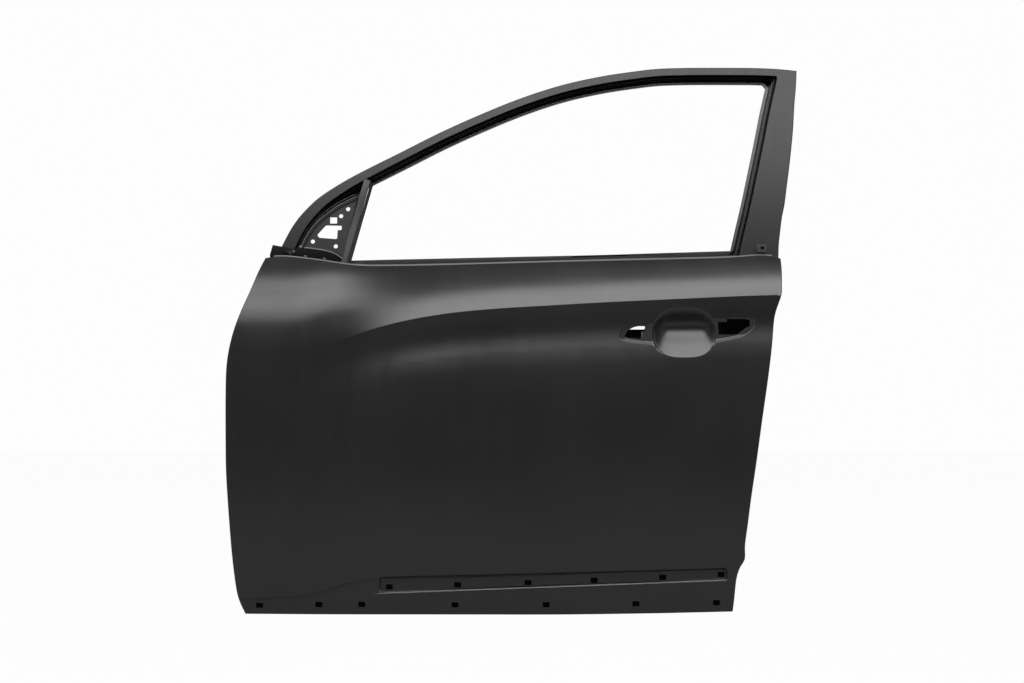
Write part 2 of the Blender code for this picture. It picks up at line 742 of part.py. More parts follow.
def pan_wall():
    """Line of the pan's side wall; it is flat at the hinges and at the lock."""
    path = inset(LOW_EDGE, WALL_INSET)
    middle = PANEL_LENGTH / 2
    return [(max(x, 0.0) if x < middle else min(x, lock_face()), z) for x, z in path]


def steepness(form, x, z):
    """How much further a face lies along Y than along its own normal."""
    rise = (form(x, z + CLEAR) - form(x, z - CLEAR)) / (2 * CLEAR)
    side = (form(x + CLEAR, z) - form(x - CLEAR, z)) / (2 * CLEAR)
    return math.sqrt(1 + rise * rise + side * side)


def flange_depth(x, z):
    """Inboard face of the inner panel's flange, which lies inside the outer panel."""
    return (plain_depth(x, z) + band_depth(x, z)
            + (SKIN_SHEET + CLEAR + INNER_SHEET) * steepness(plain_depth, x, z))


def inner_depth(x, z):
    """Floor of the pan, rising outboard to the belt and following the frame above it."""
    upper = frame_depth(x, z) + RING_DEPTH + INNER_SHEET
    low = BELT_HEIGHT - RIM_STEP * 2
    blend = ease((z - low) / RIM_STEP)
    deep = PAN_DEPTH + INNER_SHEET
    floor = deep - (deep - upper) * blend
    rim = MODULE_RIM * ease(loop_gap((x, z), MODULE_RIM_LOOP) / MODULE_RIM_WIDTH)
    if inside((x, z), MODULE_RIM_LOOP):
        rim = 0.0
    if z > BELT_HEIGHT:
        return upper - lip_raise(x, z)
    return floor - MODULE_RIM + rim if blend == 0.0 else floor


def lip_raise(x, z):
    gap = loop_gap((x, z), WINDOW_LOOP)
    return LIP_RAISE if gap < LIP_WIDTH - CLEAR else 0.0


MODULE_LOOP = smooth_run([panel_place(pair) for pair in MODULE_SHARES + MODULE_SHARES[:1]],
                         ROW_PITCH)[:-1]
MODULE_RIM_LOOP = inset(MODULE_LOOP, -MODULE_RIM, True)


def header_line():
    return edge_path(HEADER_SHARES, frame_place, FRAME_PITCH)


def pillar_line():
    return edge_path(PILLAR_SHARES, frame_place, ROW_PITCH)


def inner_panel(finish):
    bm = bmesh.new()
    edge = inset(LOW_EDGE, FOLD_RADIUS)[1:-1]
    fold = inset(LOW_EDGE, FLANGE_WIDTH)[1:-1]
    wall = pan_wall()[1:-1]
    floor = inset(wall, PAN_CORNER)
    rings = [ring(bm, edge, flange_depth), ring(bm, fold, flange_depth)]
    rings.append(ring(bm, wall, flange_depth, SEAL_STEP))
    deep = [min(inner_depth(x, z), PAN_DEPTH + INNER_SHEET) for x, z in floor]
    rings.append([bm.verts.new(point_at(x, z, depth - PAN_CORNER))
                  for (x, z), depth in zip(wall, deep)])
    rim = [bm.verts.new(point_at(x, z, depth)) for (x, z), depth in zip(floor, deep)]
    rings.append(rim)
    for first, second in zip(rings, rings[1:]):
        strip(bm, first, second)
    top = upper_rim(floor)
    rim = rim + ring(bm, top, inner_depth)
    holes, folds = inner_holes()
    outline = floor + top
    keep_out = folds + [(hole, True) for hole in holes] + [(outline, True)]
    spots = grid_spots(panel_columns(), inner_rows(), keep_out, ROW_PITCH / 3)
    spots = [place for place in spots if inside(place, outline)]
    fill(bm, rim, holes, folds, spots, inner_depth)
    item = sheet_object("inner_panel", bm, INNER_SHEET, finish, -1.0)
    cut(item, wall_cutter())
    return item


def upper_rim(floor):
    """Outer edge of the window ring, from the rear belt corner round to the front one."""
    pillar = inset(pillar_line(), RING_INSET)
    header = inset(header_line()[::-1], RING_INSET)
    start = floor[-1]
    rear = [place for place in pillar if place[1] > BELT_HEIGHT + FOLD_RADIUS]
    front = [place for place in header if place[0] > HEADER_CHANNEL]
    return rear + front[1:]


def inner_holes():
    window = WINDOW_LOOP
    holes = [window, MODULE_LOOP]
    speaker = panel_place(SPEAKER_PLACE_SHARES)
    holes.append(round_loop(speaker, SPEAKER_DIAMETER, SPEAKER_DIAMETER, 20))
    holes += [round_loop(panel_place(pair), TRIM_HOLE, TRIM_HOLE, 6) for pair in TRIM_PLACE_SHARES]
    holes.append([panel_place(pair) for pair in PULL_HOLE_SHARES])
    holes.append([panel_place(pair) for pair in HANDLE_ACCESS_SHARES])
    holes.append([frame_place(pair) for pair in MIRROR_ACCESS_SHARES])
    folds = [(inset(window, -LIP_WIDTH + CLEAR * 2, True), True),
             (inset(window, -LIP_WIDTH - CLEAR * 2, True), True),
             (MODULE_RIM_LOOP, True),
             (inset(MODULE_RIM_LOOP, -MODULE_RIM_WIDTH, True), True)]
    wide = SPEAKER_DIAMETER + MODULE_RIM_WIDTH
    folds.append((round_loop(speaker, wide, wide, 20), True))
    return holes, folds


def inner_rows():
    low = BELT_HEIGHT - RIM_STEP * 2
    rows = [lambda x, z=BOTTOM + PANEL_HEIGHT * share: z
            for share in (0.06, 0.12, 0.22, 0.35, 0.48, 0.61, 0.72)]
    rows += [lambda x, z=low + RIM_STEP * share: z for share in (0.0, 0.33, 0.67, 1.0, 1.6, 2.0)]
    rows += [lambda x, z=BELT_HEIGHT + FRAME_HEIGHT * share: z
             for share in (0.1, 0.25, 0.4, 0.55, 0.7, 0.85, 0.96)]
    return rows


def wall_cutter():
    """Holes in the hinge face and the lock face."""
    bm = bmesh.new()
    for drop in (0.0, HINGE_SPACING):
        for side in (-1, 1):
            bolt_hole(bm, side * HINGE_BOLT_PITCH / 2 - drop, hinge_wall(drop))
    rise = HARNESS_RISE
    middle = -HINGE_SPACING / 2
    rod(bm, (-OVERRUN, 0.0, middle + rise - CHECK_SLOT_HEIGHT / 2),
        (OVERRUN, 0.0, middle + rise - CHECK_SLOT_HEIGHT / 2), HARNESS_HOLE / 2, 16)
    block(bm, (0.0, 0.0, middle), (OVERRUN * 2, CHECK_SLOT_WIDTH, CHECK_SLOT_HEIGHT))
    face = lock_face()
    for place in lock_bolts():
        rod(bm, (face - OVERRUN, *place), (face + OVERRUN, *place), LOCK_HOLE / 2, 8)
    block(bm, (face, 0.0, -LOCK_DROP), (OVERRUN * 2, LOCK_SLOT_WIDTH, LOCK_SLOT_HEIGHT))
    return cutter("wall_holes", bm)


def bolt_hole(bm, z, wall):
    rod(bm, (wall - OVERRUN * 2, 0.0, z), (wall + OVERRUN, 0.0, z), HINGE_HOLE / 2)


def lock_bolts():
    low = -LOCK_DROP - LOCK_HOLE_PITCH / 2
    high = -LOCK_DROP + LOCK_HOLE_PITCH / 2
    side = LOCK_SLOT_WIDTH / 3
    return ((-side, high), (side, high), (0.0, low))



# Window frame pieces.

def swept_sheet(name, path, profile, thickness, finish, seed_strip, toward=1.0):
    """Profile of (distance in from the path, depth behind the frame face), swept along it."""
    bm = bmesh.new()
    rows = []
    for width, depth in profile:
        places = inset(path, width)
        rows.append([bm.verts.new(point_at(x, z, frame_depth(x, z) + depth))
                     for x, z in places])
    for first, second in zip(rows, rows[1:]):
        strip(bm, first, second)
    return sheet_object(name, bm, thickness, finish, toward, seed_strip * (len(path) - 1))


def frame_foot():
    """Depth at which a frame piece of FRAME_SHEET seats on the window ring."""
    return RING_DEPTH - CLEAR * 2 - FRAME_SHEET


def folded_foot():
    """The same seat for a foot that is folded under its own piece."""
    return RING_DEPTH - CLEAR * 2


def header_frame(finish):
    """Windscreen pillar and roof run: box section with a channel on its inner side."""
    path = header_line()[::-1]
    foot = frame_foot()
    inner = HEADER_WIDTH
    under = folded_foot()
    profile = ((RING_INSET + FOOT_WIDTH, under), (RING_INSET, under), (CLEAR, foot / 4), (0.0, 0.0),
               (inner, 0.0), (inner + FRAME_SHEET, foot),
               (inner + FRAME_SHEET + HEADER_CHANNEL, foot))
    return wide_header(profile, path, finish)


def wide_header(profile, path, finish):
    """The flange grows wider along the windscreen pillar than along the roof."""
    bm = bmesh.new()
    rows = []
    for width, depth in profile:
        places = [place_in(path, i, width, header_growth(i, path)) for i in range(len(path))]
        rows.append([bm.verts.new(point_at(x, z, frame_depth(x, z) + depth)) for x, z in places])
    for first, second in zip(rows, rows[1:]):
        strip(bm, first, second)
    seed = 3 * (len(path) - 1)
    return sheet_object("header_frame", bm, FRAME_SHEET, finish, 1.0, seed)


def header_growth(i, path):
    """Extra flange width, from none at the roof to PILLAR_WIDTH at the foot."""
    down = 1 - (path[i][1] - BELT_HEIGHT) / (FRAME_HEIGHT * 0.6)
    return (PILLAR_WIDTH - HEADER_WIDTH) * ease(down)


def place_in(path, i, width, growth):
    before, after = path[max(i - 1, 0)], path[min(i + 1, len(path) - 1)]
    length = distance(before, after)
    amount = width + growth * min(1.0, width / HEADER_WIDTH)
    if width <= RING_INSET + FOOT_WIDTH:
        amount = width
    return (path[i][0] - (after[1] - before[1]) / length * amount,
            path[i][1] + (after[0] - before[0]) / length * amount)


def sash_lines():
    """Left and right edge of the rear sash panel, paired by height."""
    left = [frame_place(pair) for pair in SASH_EDGE_SHARES]
    right_table = [(frame_place(pair)[1], frame_place(pair)[0]) for pair in PILLAR_SHARES]
    left_table = [(z, x) for x, z in left]
    top = right_table[-1][0]
    count = round((top - BELT_HEIGHT) / ROW_PITCH)
    heights = [BELT_HEIGHT + FOLD_RADIUS + (top - BELT_HEIGHT - FOLD_RADIUS) * i / count
               for i in range(count + 1)]
    return [(interpolate(left_table, z), interpolate(right_table, z), z) for z in heights]


def rear_sash_panel(finish):
    """Wide plate behind the window with both sides folded in to feet on the window ring."""
    foot = folded_foot()
    bm = bmesh.new()
    rows = []
    lines = sash_lines()
    for side, width, depth in ((0, FOOT_WIDTH, foot), (0, 0.0, foot), (0, 0.0, 0.0),
                               (1, 0.0, 0.0), (1, RING_INSET, foot),
                               (1, RING_INSET + FOOT_WIDTH, foot)):
        row = []
        for left, right, z in lines:
            x = left + width if side == 0 else right - width
            row.append(bm.verts.new(point_at(x, z, frame_depth(x, z) + depth)))
        rows.append(row)
    for first, second in zip(rows, rows[1:]):
        strip(bm, first, second)
    seed = 2 * (len(lines) - 1)
    return sheet_object("rear_sash_panel", bm, FRAME_SHEET, finish, 1.0, seed)


def glass_channel(name, path, seat, finish):
    """U-shaped run for the glass, open toward the window."""
    back = seat - CLEAR
    front = back - RUN_DEPTH
    profile = ((RUN_WIDTH, back), (0.0, back), (0.0, front), (RUN_WIDTH, front))
    return swept_sheet(name, path, profile, FRAME_SHEET, finish, 0, -1.0)



def rear_run():
    """Line beside the sash panel's window edge, from the belt up to the roof run."""
    gap = FRAME_SHEET + CLEAR
    top = max(z for _, z in WINDOW_LOOP)
    return [(left - gap, z) for left, _, z in sash_lines() if z < top]


def roof_run():
    """Line of the header's inner edge from the division bar to the sash panel."""
    start = BAR_TOP_X + BAR_WIDTH + RUN_WIDTH * 2
    end = frame_place(SASH_EDGE_SHARES[-1])[0] - RUN_WIDTH * 2
    path = header_line()[::-1]
    width = HEADER_WIDTH + FRAME_SHEET * 2 + CLEAR
    inner = [place_in(path, i, width, header_growth(i, path)) for i in range(len(path))]
    return [place for place in inner if start < place[0] < end]


BAR_TOP_SHARES = (0.2418, 0.3800)
BAR_FOOT_SHARES = (0.2044, -0.0241)
BAR_BELOW_BELT = 0.150
BAR_TOP_X = frame_place(BAR_TOP_SHARES)[0]


def bar_line():
    """Front edge line of the division bar, from its top down into the pan."""
    top = frame_place(BAR_TOP_SHARES)
    foot = frame_place(BAR_FOOT_SHARES)
    low = (foot[0] - (top[0] - foot[0]) * BAR_BELOW_BELT / (top[1] - foot[1]),
           foot[1] - BAR_BELOW_BELT)
    return smooth_run([top, foot, low], ROW_PITCH)


def window_loop():
    """Edge of the window: along the sill, up the sash, back down the header and the bar."""
    sill = [frame_place(pair) for pair in SILL_SHARES]
    left = sorted((frame_place(pair)[1], frame_place(pair)[0]) for pair in SASH_EDGE_SHARES)
    header = inset(header_line()[::-1], HEADER_REACH)
    top = [(x, z) for x, z in header
           if BAR_TOP_X + BAR_REACH < x < interpolate(left, z) - SASH_REACH - WINDOW_CORNER]
    stops = [BELT_HEIGHT + FRAME_HEIGHT * share for share in REAR_STOP_SHARES]
    rear = [(interpolate(left, z) - SASH_REACH, z) for z in stops
            if z < top[0][1] - WINDOW_CORNER / 2]
    front = [(x, z) for x, z in inset(bar_line(), BAR_REACH)
             if sill[0][1] + WINDOW_CORNER < z < top[-1][1] - WINDOW_CORNER]
    return sill + rear + top + front


WINDOW_LOOP = window_loop()


def division_bar(finish):
    """Front bar of the window: a folded channel that runs on down into the pan."""
    path = bar_line()
    back = RING_DEPTH - LIP_RAISE - CLEAR * 2
    profile = ((0.0, back), (0.0, BAR_SETBACK), (BAR_WIDTH, BAR_SETBACK), (BAR_WIDTH, back))
    return swept_sheet("division_bar", path, profile, FRAME_SHEET, finish, 1)


def division_glass_channel(finish):
    """Glass run on the rear side of the division bar."""
    path = inset(bar_line(), BAR_WIDTH + CLEAR)[1:]
    back = RING_DEPTH - LIP_RAISE - CLEAR * 2
    front = BAR_SETBACK + FRAME_SHEET
    profile = ((RUN_WIDTH, back), (0.0, back), (0.0, front), (RUN_WIDTH, front))
    return swept_sheet("division_glass_channel", path, profile, FRAME_SHEET, finish, 0, -1.0)



# Mirror corner.

def mirror_outline():
    edge = edge_path(MIRROR_EDGE_SHARES, frame_place, EDGE_PITCH)
    foot = edge_path(MIRROR_FOOT_SHARES, frame_place, EDGE_PITCH)
    return split_path(edge + foot + edge[:1], EDGE_PITCH)[:-1]


def mirror_plate(finish):
    """Corner pressing that carries the mirror, with a raised bead along its curved edge."""
    bm = bmesh.new()
    outline = mirror_outline()
    holes = [round_loop(frame_place(pair), MIRROR_STUD_HOLE, MIRROR_STUD_HOLE, HOLE_SIDES)
             for pair in MIRROR_STUD_SHARES]
    holes.append([frame_place(pair) for pair in MIRROR_SQUARE_SHARES])
    holes.append([frame_place(pair) for pair in MIRROR_ODD_SHARES])
    edge = [frame_place(pair) for pair in MIRROR_EDGE_SHARES]
    crest = inset(edge, -MIRROR_BEAD_WIDTH / 2)[1:-1]
    foot = inset(edge, -MIRROR_BEAD_WIDTH)[1:-1]
    folds = [(crest, False), (foot, False)]
    rim = ring(bm, outline, mirror_depth)
    fill(bm, rim, holes, folds, [], mirror_depth)
    edge_verts = rim[:]
    skirt = [bm.verts.new(point_at(x, z, frame_depth(x, z) + frame_foot()))
             for x, z in outline]
    strip(bm, edge_verts, skirt, True)
    return sheet_object("mirror_plate", bm, FRAME_SHEET, finish)


def mirror_depth(x, z):
    edge = [frame_place(pair) for pair in MIRROR_EDGE_SHARES]
    gap = loop_gap((x, z), edge, False)
    bead = MIRROR_BEAD * max(0.0, 1 - abs(gap - MIRROR_BEAD_WIDTH / 2) / (MIRROR_BEAD_WIDTH / 2))
    return frame_depth(x, z) + MIRROR_SETBACK - bead


MIRROR_SETBACK = 0.008


# Reinforcements inside the door.

def folded_plate(name, profile, span, axis, thickness, finish):
    """Open profile of (x, y) or (y, z) corners, drawn out along the remaining axis."""
    bm = bmesh.new()
    rows = []
    for end in span:
        rows.append([bm.verts.new(axis(first, second, end)) for first, second in profile])
    strip(bm, rows[0], rows[1])
    bmesh.ops.recalc_face_normals(bm, faces=bm.faces)
    mesh = bpy.data.meshes.new(name)
    bm.to_mesh(mesh)
    bm.free()
    item = place_object(name, mesh, finish)
    wall = item.modifiers.new("sheet", "SOLIDIFY")
    wall.thickness = thickness
    wall.offset = 0.0
    wall.use_even_offset = True
    return item


def along_z(x, y, z):
    return Vector((x, y, z))


def front_wall_at(z):
    """X of the pan's front wall at a height."""
    wall = [place for place in pan_wall() if place[0] < PANEL_LENGTH / 2]
    table = sorted((place[1], place[0]) for place in wall if place[1] > BOTTOM + WALL_INSET * 2)
    return interpolate(table, z)


def hinge_wall(drop):
    """Innermost place of the front wall over the height of one hinge."""
    half = HINGE_BRACE_HEIGHT / 2
    return max(front_wall_at(half * share - drop) for share in (-1.0, -0.5, 0.0, 0.5, 1.0))


def pan_floor():
    return PAN_DEPTH - HINGE_DEPTH


def hinge_brace(name, drop, height, finish):
    """Angle plate inside the hinge corner, along the wall and the floor."""
    half = BRACE_SHEET / 2
    near = hinge_wall(drop) + INNER_SHEET + CLEAR + half
    floor = pan_floor() - CLEAR - half
    profile = ((near, -HINGE_BRACE_DEPTH / 2), (near, floor - PAN_CORNER * 1.5),
               (near + PAN_CORNER * 1.5, floor), (near + HINGE_BRACE_REACH, floor))
    item = folded_plate(name, profile, (-drop - height / 2, -drop + height / 2), along_z,
                        BRACE_SHEET, finish)
    return item


def hinge_bolt_cutter():
    bm = bmesh.new()
    for drop in (0.0, HINGE_SPACING):
        for side in (-1, 1):
            bolt_hole(bm, side * HINGE_BOLT_PITCH / 2 - drop, hinge_wall(drop))
    return cutter("bolt_holes", bm)


def check_cutter():
    bm = bmesh.new()
    block(bm, (0.0, 0.0, -HINGE_SPACING / 2),
          (OVERRUN * 2, CHECK_SLOT_WIDTH, CHECK_SLOT_HEIGHT))
    return cutter("check_slot", bm)


def weld_nut(name, z, wall, finish):
    """Hexagon weld nut behind a hinge brace."""
    start = wall + INNER_SHEET + BRACE_SHEET + CLEAR * 2
    bm = bmesh.new()
    rows = []
    for radius, x in ((HINGE_HOLE / 2, start), (NUT_WIDTH / 2, start),
                      (NUT_WIDTH / 2, start + NUT_HEIGHT), (HINGE_HOLE / 2, start + NUT_HEIGHT)):
        row = []
        for i in range(12):
            angle = math.tau * i / 12
            flat = 1.0
            if radius == NUT_WIDTH / 2 and i % 2:
                flat = math.cos(math.pi / 6)
            row.append(bm.verts.new((x, radius * flat * math.cos(angle),
                                     z + radius * flat * math.sin(angle))))
        rows.append(row)
    for i in range(4):
        strip(bm, rows[i], rows[(i + 1) % 4], True)
    return place_object(name, finish_mesh(bm, name), finish)


def lock_brace(finish):
    """Angle plate behind the lock face."""
    half = BRACE_SHEET / 2
    near = lock_face() - INNER_SHEET - CLEAR - half
    floor = pan_floor() - CLEAR - half
    profile = ((near, -LOCK_SLOT_WIDTH / 2 - PAN_CORNER), (near, floor - PAN_CORNER * 1.5),
               (near - PAN_CORNER * 1.5, floor), (near - LOCK_BRACE_REACH, floor))
    item = folded_plate("lock_brace", profile,
                        (-LOCK_DROP - LOCK_BRACE_HEIGHT / 2, -LOCK_DROP + LOCK_BRACE_HEIGHT / 2),
                        along_z, BRACE_SHEET, finish)
    bm = bmesh.new()
    face = lock_face()
    for place in lock_bolts():
        rod(bm, (face - OVERRUN, *place), (face + OVERRUN, *place), LOCK_HOLE / 2, 8)
    block(bm, (face, 0.0, -LOCK_DROP), (OVERRUN * 2, LOCK_SLOT_WIDTH, LOCK_SLOT_HEIGHT))
    cut(item, cutter("lock_holes", bm))
    return item


def beam_front_height():
    return -HINGE_SPACING * BEAM_FRONT_SHARE


def beam_rear_height():
    return BOTTOM + BEAM_REAR_SHARE * PANEL_HEIGHT


def beam_ends():
    """Centre line of the impact beam, from the hinge side to the lock side."""
    y = BEAM_DEPTH - HINGE_DEPTH
    low = beam_rear_height()
    rear = wall_at(low) - BEAM_END_GAP
    return Vector((BEAM_END_GAP, y, beam_front_height())), Vector((rear, y, low))


def wall_at(z):
    """X of the pan's rear wall at a height."""
    wall = [place for place in pan_wall() if place[0] > PANEL_LENGTH / 2]
    table = sorted((place[1], place[0]) for place in wall if place[1] > BOTTOM + WALL_INSET * 2)
    return interpolate(table, z)


def impact_beam(finish):
    """Straight steel tube across the door."""
    start, end = beam_ends()
    bm = bmesh.new()
    axis = (end - start).normalized()
    side = Vector((0, 1, 0))
    up = axis.cross(side)
    rows = []
    for radius, centre in ((BEAM_RADIUS - BEAM_WALL, start), (BEAM_RADIUS, start),
                           (BEAM_RADIUS, end), (BEAM_RADIUS - BEAM_WALL, end)):
        row = []
        for i in range(16):
            angle = math.tau * i / 16
            row.append(bm.verts.new(centre + side * radius * math.cos(angle)
                                    + up * radius * math.sin(angle)))
        rows.append(row)
    for i in range(4):
        strip(bm, rows[i], rows[(i + 1) % 4], True)
    return place_object("impact_beam", finish_mesh(bm, "impact_beam"), finish)


def beam_bracket(name, wall_x, sign, centre_z, finish):
    """Angle bracket: one leg on the pan's wall, the other behind the tube's end."""
    half = BRACE_SHEET / 2
    near = wall_x + sign * (INNER_SHEET + CLEAR + half)
    seat = BEAM_DEPTH - HINGE_DEPTH + BEAM_RADIUS + CLEAR + half
    profile = ((near, seat + BEAM_RADIUS * 1.6), (near, seat),
               (near + sign * BEAM_BRACKET_REACH, seat))
    span = (centre_z - BEAM_BRACKET_HEIGHT / 2, centre_z + BEAM_BRACKET_HEIGHT / 2)

    def along_wall(x, y, z):
        lean = wall_at(z) - wall_at(centre_z) if sign < 0 else 0.0
        return Vector((x + lean, y, z))

    return folded_plate(name, profile, span, along_wall, BRACE_SHEET, finish)



def belt_stations():
    start = panel_place((BELT_BRACE_START_SHARE, 1.0))[0]
    end = panel_place((BELT_BRACE_END_SHARE, 1.0))[0]
    count = round((end - start) / ROW_PITCH / 1.5)
    return [start + (end - start) * i / count for i in range(count + 1)]


def belt_top(x):
    table = sorted(edge_path(BELT_EDGE_SHARES, panel_place, ROW_PITCH))
    return interpolate(table, x)


def belt_brace(name, seat, top, bead, thickness, finish):
    """Long strip with a bead along its middle, following a depth along the belt."""
    bm = bmesh.new()
    rows = []
    for drop_share, out in ((0.0, 0.0), (0.3, 0.0), (0.42, bead), (0.68, bead), (0.8, 0.0),
                            (1.0, 0.0)):
        row = []
        for x in belt_stations():
            z = top(x) - BELT_BRACE_HEIGHT * drop_share
            row.append(bm.verts.new(point_at(x, z, seat(x, z) + out)))
        rows.append(row)
    for first, second in zip(rows, rows[1:]):
        strip(bm, first, second)
    return sheet_object(name, bm, thickness, finish)


def outer_belt_brace(finish):
    def seat(x, z):
        return skin_depth(x, belt_top(x)) + BELT_ROLL + SKIN_SHEET + CLEAR
    return belt_brace("outer_belt_brace", seat, lambda x: belt_top(x) - BELT_ROLL,
                      BELT_BRACE_BEAD, BRACE_SHEET, finish)


def inner_belt_brace(finish):
    """Strip on the outboard face of the inner panel's belt."""
    slack = INNER_SHEET * 2 + CLEAR + BRACE_SHEET

    def seat(x, z):
        return inner_depth(x, z) - slack * steepness(inner_depth, x, z)

    return belt_brace("inner_belt_brace", seat, inner_belt_top, 0.0, BRACE_SHEET, finish)


def inner_belt_top(x):
    opening = sorted(place for place in WINDOW_LOOP[:4])
    return interpolate(opening, x) - LIP_WIDTH - BELT_ROLL


def anti_flutter_pad(name, share, finish):
    """Block of mastic between the skin and the beam."""
    start, end = beam_ends()
    centre = start.lerp(end, share)
    half = (PAD_LENGTH / 2, PAD_WIDTH / 2)
    bm = bmesh.new()
    made = bmesh.ops.create_cube(bm, size=2.0)
    tube = BEAM_DEPTH - BEAM_RADIUS - CLEAR
    for vert in made["verts"]:
        x = centre.x + vert.co.x * half[0]
        z = centre.z + vert.co.z * half[1]
        outer = plain_depth(x, z) + SKIN_SHEET + CLEAR * 3
        vert.co = point_at(x, z, tube if vert.co.y > 0 else outer)
    return place_object(name, finish_mesh(bm, name), finish)


def skin_patch(name, xs, zs, lay, thickness, finish):
    """Sheet laid behind the outer panel over a grid of places."""
    bm = bmesh.new()
    rows = []
    for z in zs:
        rows.append([bm.verts.new(point_at(x, z, lay(x, z))) for x in xs])
    for first, second in zip(rows, rows[1:]):
        strip(bm, first, second)
    return sheet_object(name, bm, thickness, finish)


def damping_sheet(finish):
    x = DAMPER_PLACE_SHARE * PANEL_LENGTH - HINGE_SETBACK
    start, end = beam_ends()
    near = x - DAMPER_LENGTH / 2 - start.x
    beam = start.z + (end.z - start.z) * near / (end.x - start.x)
    centre = (x, beam + PAD_WIDTH + DAMPER_HEIGHT / 2)
    xs = [centre[0] + DAMPER_LENGTH * (i / 6 - 0.5) for i in range(7)]
    zs = [centre[1] + DAMPER_HEIGHT * (i / 4 - 0.5) for i in range(5)]
    return skin_patch("damping_sheet", xs, zs,
                      lambda x, z: plain_depth(x, z) + SKIN_SHEET + CLEAR * 2,
                      DAMPER_SHEET, finish)


HANDLE_BRACE_MARGIN = 0.012
HANDLE_BRACE_SHEET = 0.0012
HANDLE_EYE = 0.0045
HANDLE_EYE_PLACE_SHARES = (0.7500, 0.783)


def handle_lay(x, z):
    """Depth of the handle brace: it seats on the back of the two pockets."""
    return (plain_depth(x, z) + POCKET_DEPTH
            + (SKIN_SHEET + CLEAR * 2) * steepness(plain_depth, x, z))


def handle_brace(finish):
    """Plate behind both handle pockets, open round the finger cup."""
    bm = bmesh.new()
    margin = HANDLE_BRACE_MARGIN
    left = FRONT_POCKET[3][0] - margin
    right = REAR_POCKET[4][0] + margin / 2
    top = CUP_CENTRE[1] + CUP_HEIGHT / 2 + margin / 2
    low = CUP_CENTRE[1] - CUP_HEIGHT / 2 - margin
    shelf = FRONT_POCKET[6][1] - margin
    cup_left = CUP_CENTRE[0] - CUP_LENGTH / 2 - margin
    cup_right = CUP_CENTRE[0] + CUP_LENGTH / 2 + margin
    outline = [(left, shelf), (cup_left, low), (cup_right, low), (right, shelf),
               (right, REAR_POCKET[6][1] + margin), (cup_right, top), (cup_left, top),
               (left + margin, FRONT_POCKET[1][1] + margin)]
    outline = split_path(outline + outline[:1], ROW_PITCH / 2)[:-1]
    hole = round_loop(CUP_CENTRE, CUP_LENGTH + OVERRUN, CUP_HEIGHT + OVERRUN, 20)
    opening = [panel_place(pair) for pair in REAR_OPENING_SHARES]
    front = [panel_place(pair) for pair in FRONT_OPENING_SHARES]
    slot = [(x, z) for x, z in front if x < front[4][0] + CLEAR]
    rim = ring(bm, outline, handle_lay)
    eye = round_loop(panel_place(HANDLE_EYE_PLACE_SHARES), HANDLE_EYE, HANDLE_EYE, 6)
    grid = [(x, z) for x in steps(left, right, 9) for z in steps(low, top, 7)]
    paths = [outline, hole, opening, slot, eye]
    spots = [place for place in grid if inside(place, outline)
             and all(loop_gap(place, path) > OVERRUN for path in paths)]
    fill(bm, rim, [hole, opening, slot, eye], [], spots, handle_lay)
    return sheet_object("handle_brace", bm, HANDLE_BRACE_SHEET, finish)


def steps(start, end, count):
    return [start + (end - start) * i / count for i in range(count + 1)]


def split_path(points, pitch):
    """Straight-sided path with extra points along its long sides."""
    places = []
    for start, end in zip(points, points[1:]):
        count = max(1, round(distance(start, end) / pitch))
        for k in range(count):
            t = k / count
            places.append((start[0] + (end[0] - start[0]) * t,
                           start[1] + (end[1] - start[1]) * t))
    places.append(points[-1])
    return places


def belt_end_clip(finish):
    """Small plate with a hole, on the sash panel just above the belt."""
    left, right, _ = sash_lines()[0]
    middle = (left + right) / 2 + CLIP_WIDTH / 4
    z = belt_top(middle) + CLIP_HEIGHT / 2 + OVERRUN
    outline = [(middle - CLIP_WIDTH / 2, z - CLIP_HEIGHT / 2),
               (middle + CLIP_WIDTH / 2, z - CLIP_HEIGHT / 2),
               (middle + CLIP_WIDTH / 2, z + CLIP_HEIGHT / 2),
               (middle - CLIP_WIDTH / 2, z + CLIP_HEIGHT / 2)]

    def lay(x, height):
        return frame_depth(x, height) - CLEAR * 2 - BRACE_SHEET

    bm = bmesh.new()
    hole = round_loop((middle, z), CLIP_HOLE, CLIP_HOLE, HOLE_SIDES)
    fill(bm, ring(bm, outline, lay), [hole], [], [], lay)
    return sheet_object("belt_end_clip", bm, BRACE_SHEET, finish)


def mirror_brace(finish):
    """Thicker plate behind the mirror plate, with the same stud holes."""
    bm = bmesh.new()
    outline = inset(mirror_outline(), -OVERRUN, True)

    def lay(x, z):
        gap = (FRAME_SHEET + CLEAR * 2) * steepness(frame_depth, x, z)
        return frame_depth(x, z) + MIRROR_SETBACK + gap

    holes = [round_loop(frame_place(pair), MIRROR_STUD_HOLE, MIRROR_STUD_HOLE, HOLE_SIDES)
             for pair in MIRROR_STUD_SHARES]
    holes.append([frame_place(pair) for pair in MIRROR_SQUARE_SHARES])
    holes.append([frame_place(pair) for pair in MIRROR_ODD_SHARES])
    fill(bm, ring(bm, outline, lay), holes, [], [], lay)
    return sheet_object("mirror_brace", bm, BRACE_SHEET, finish)


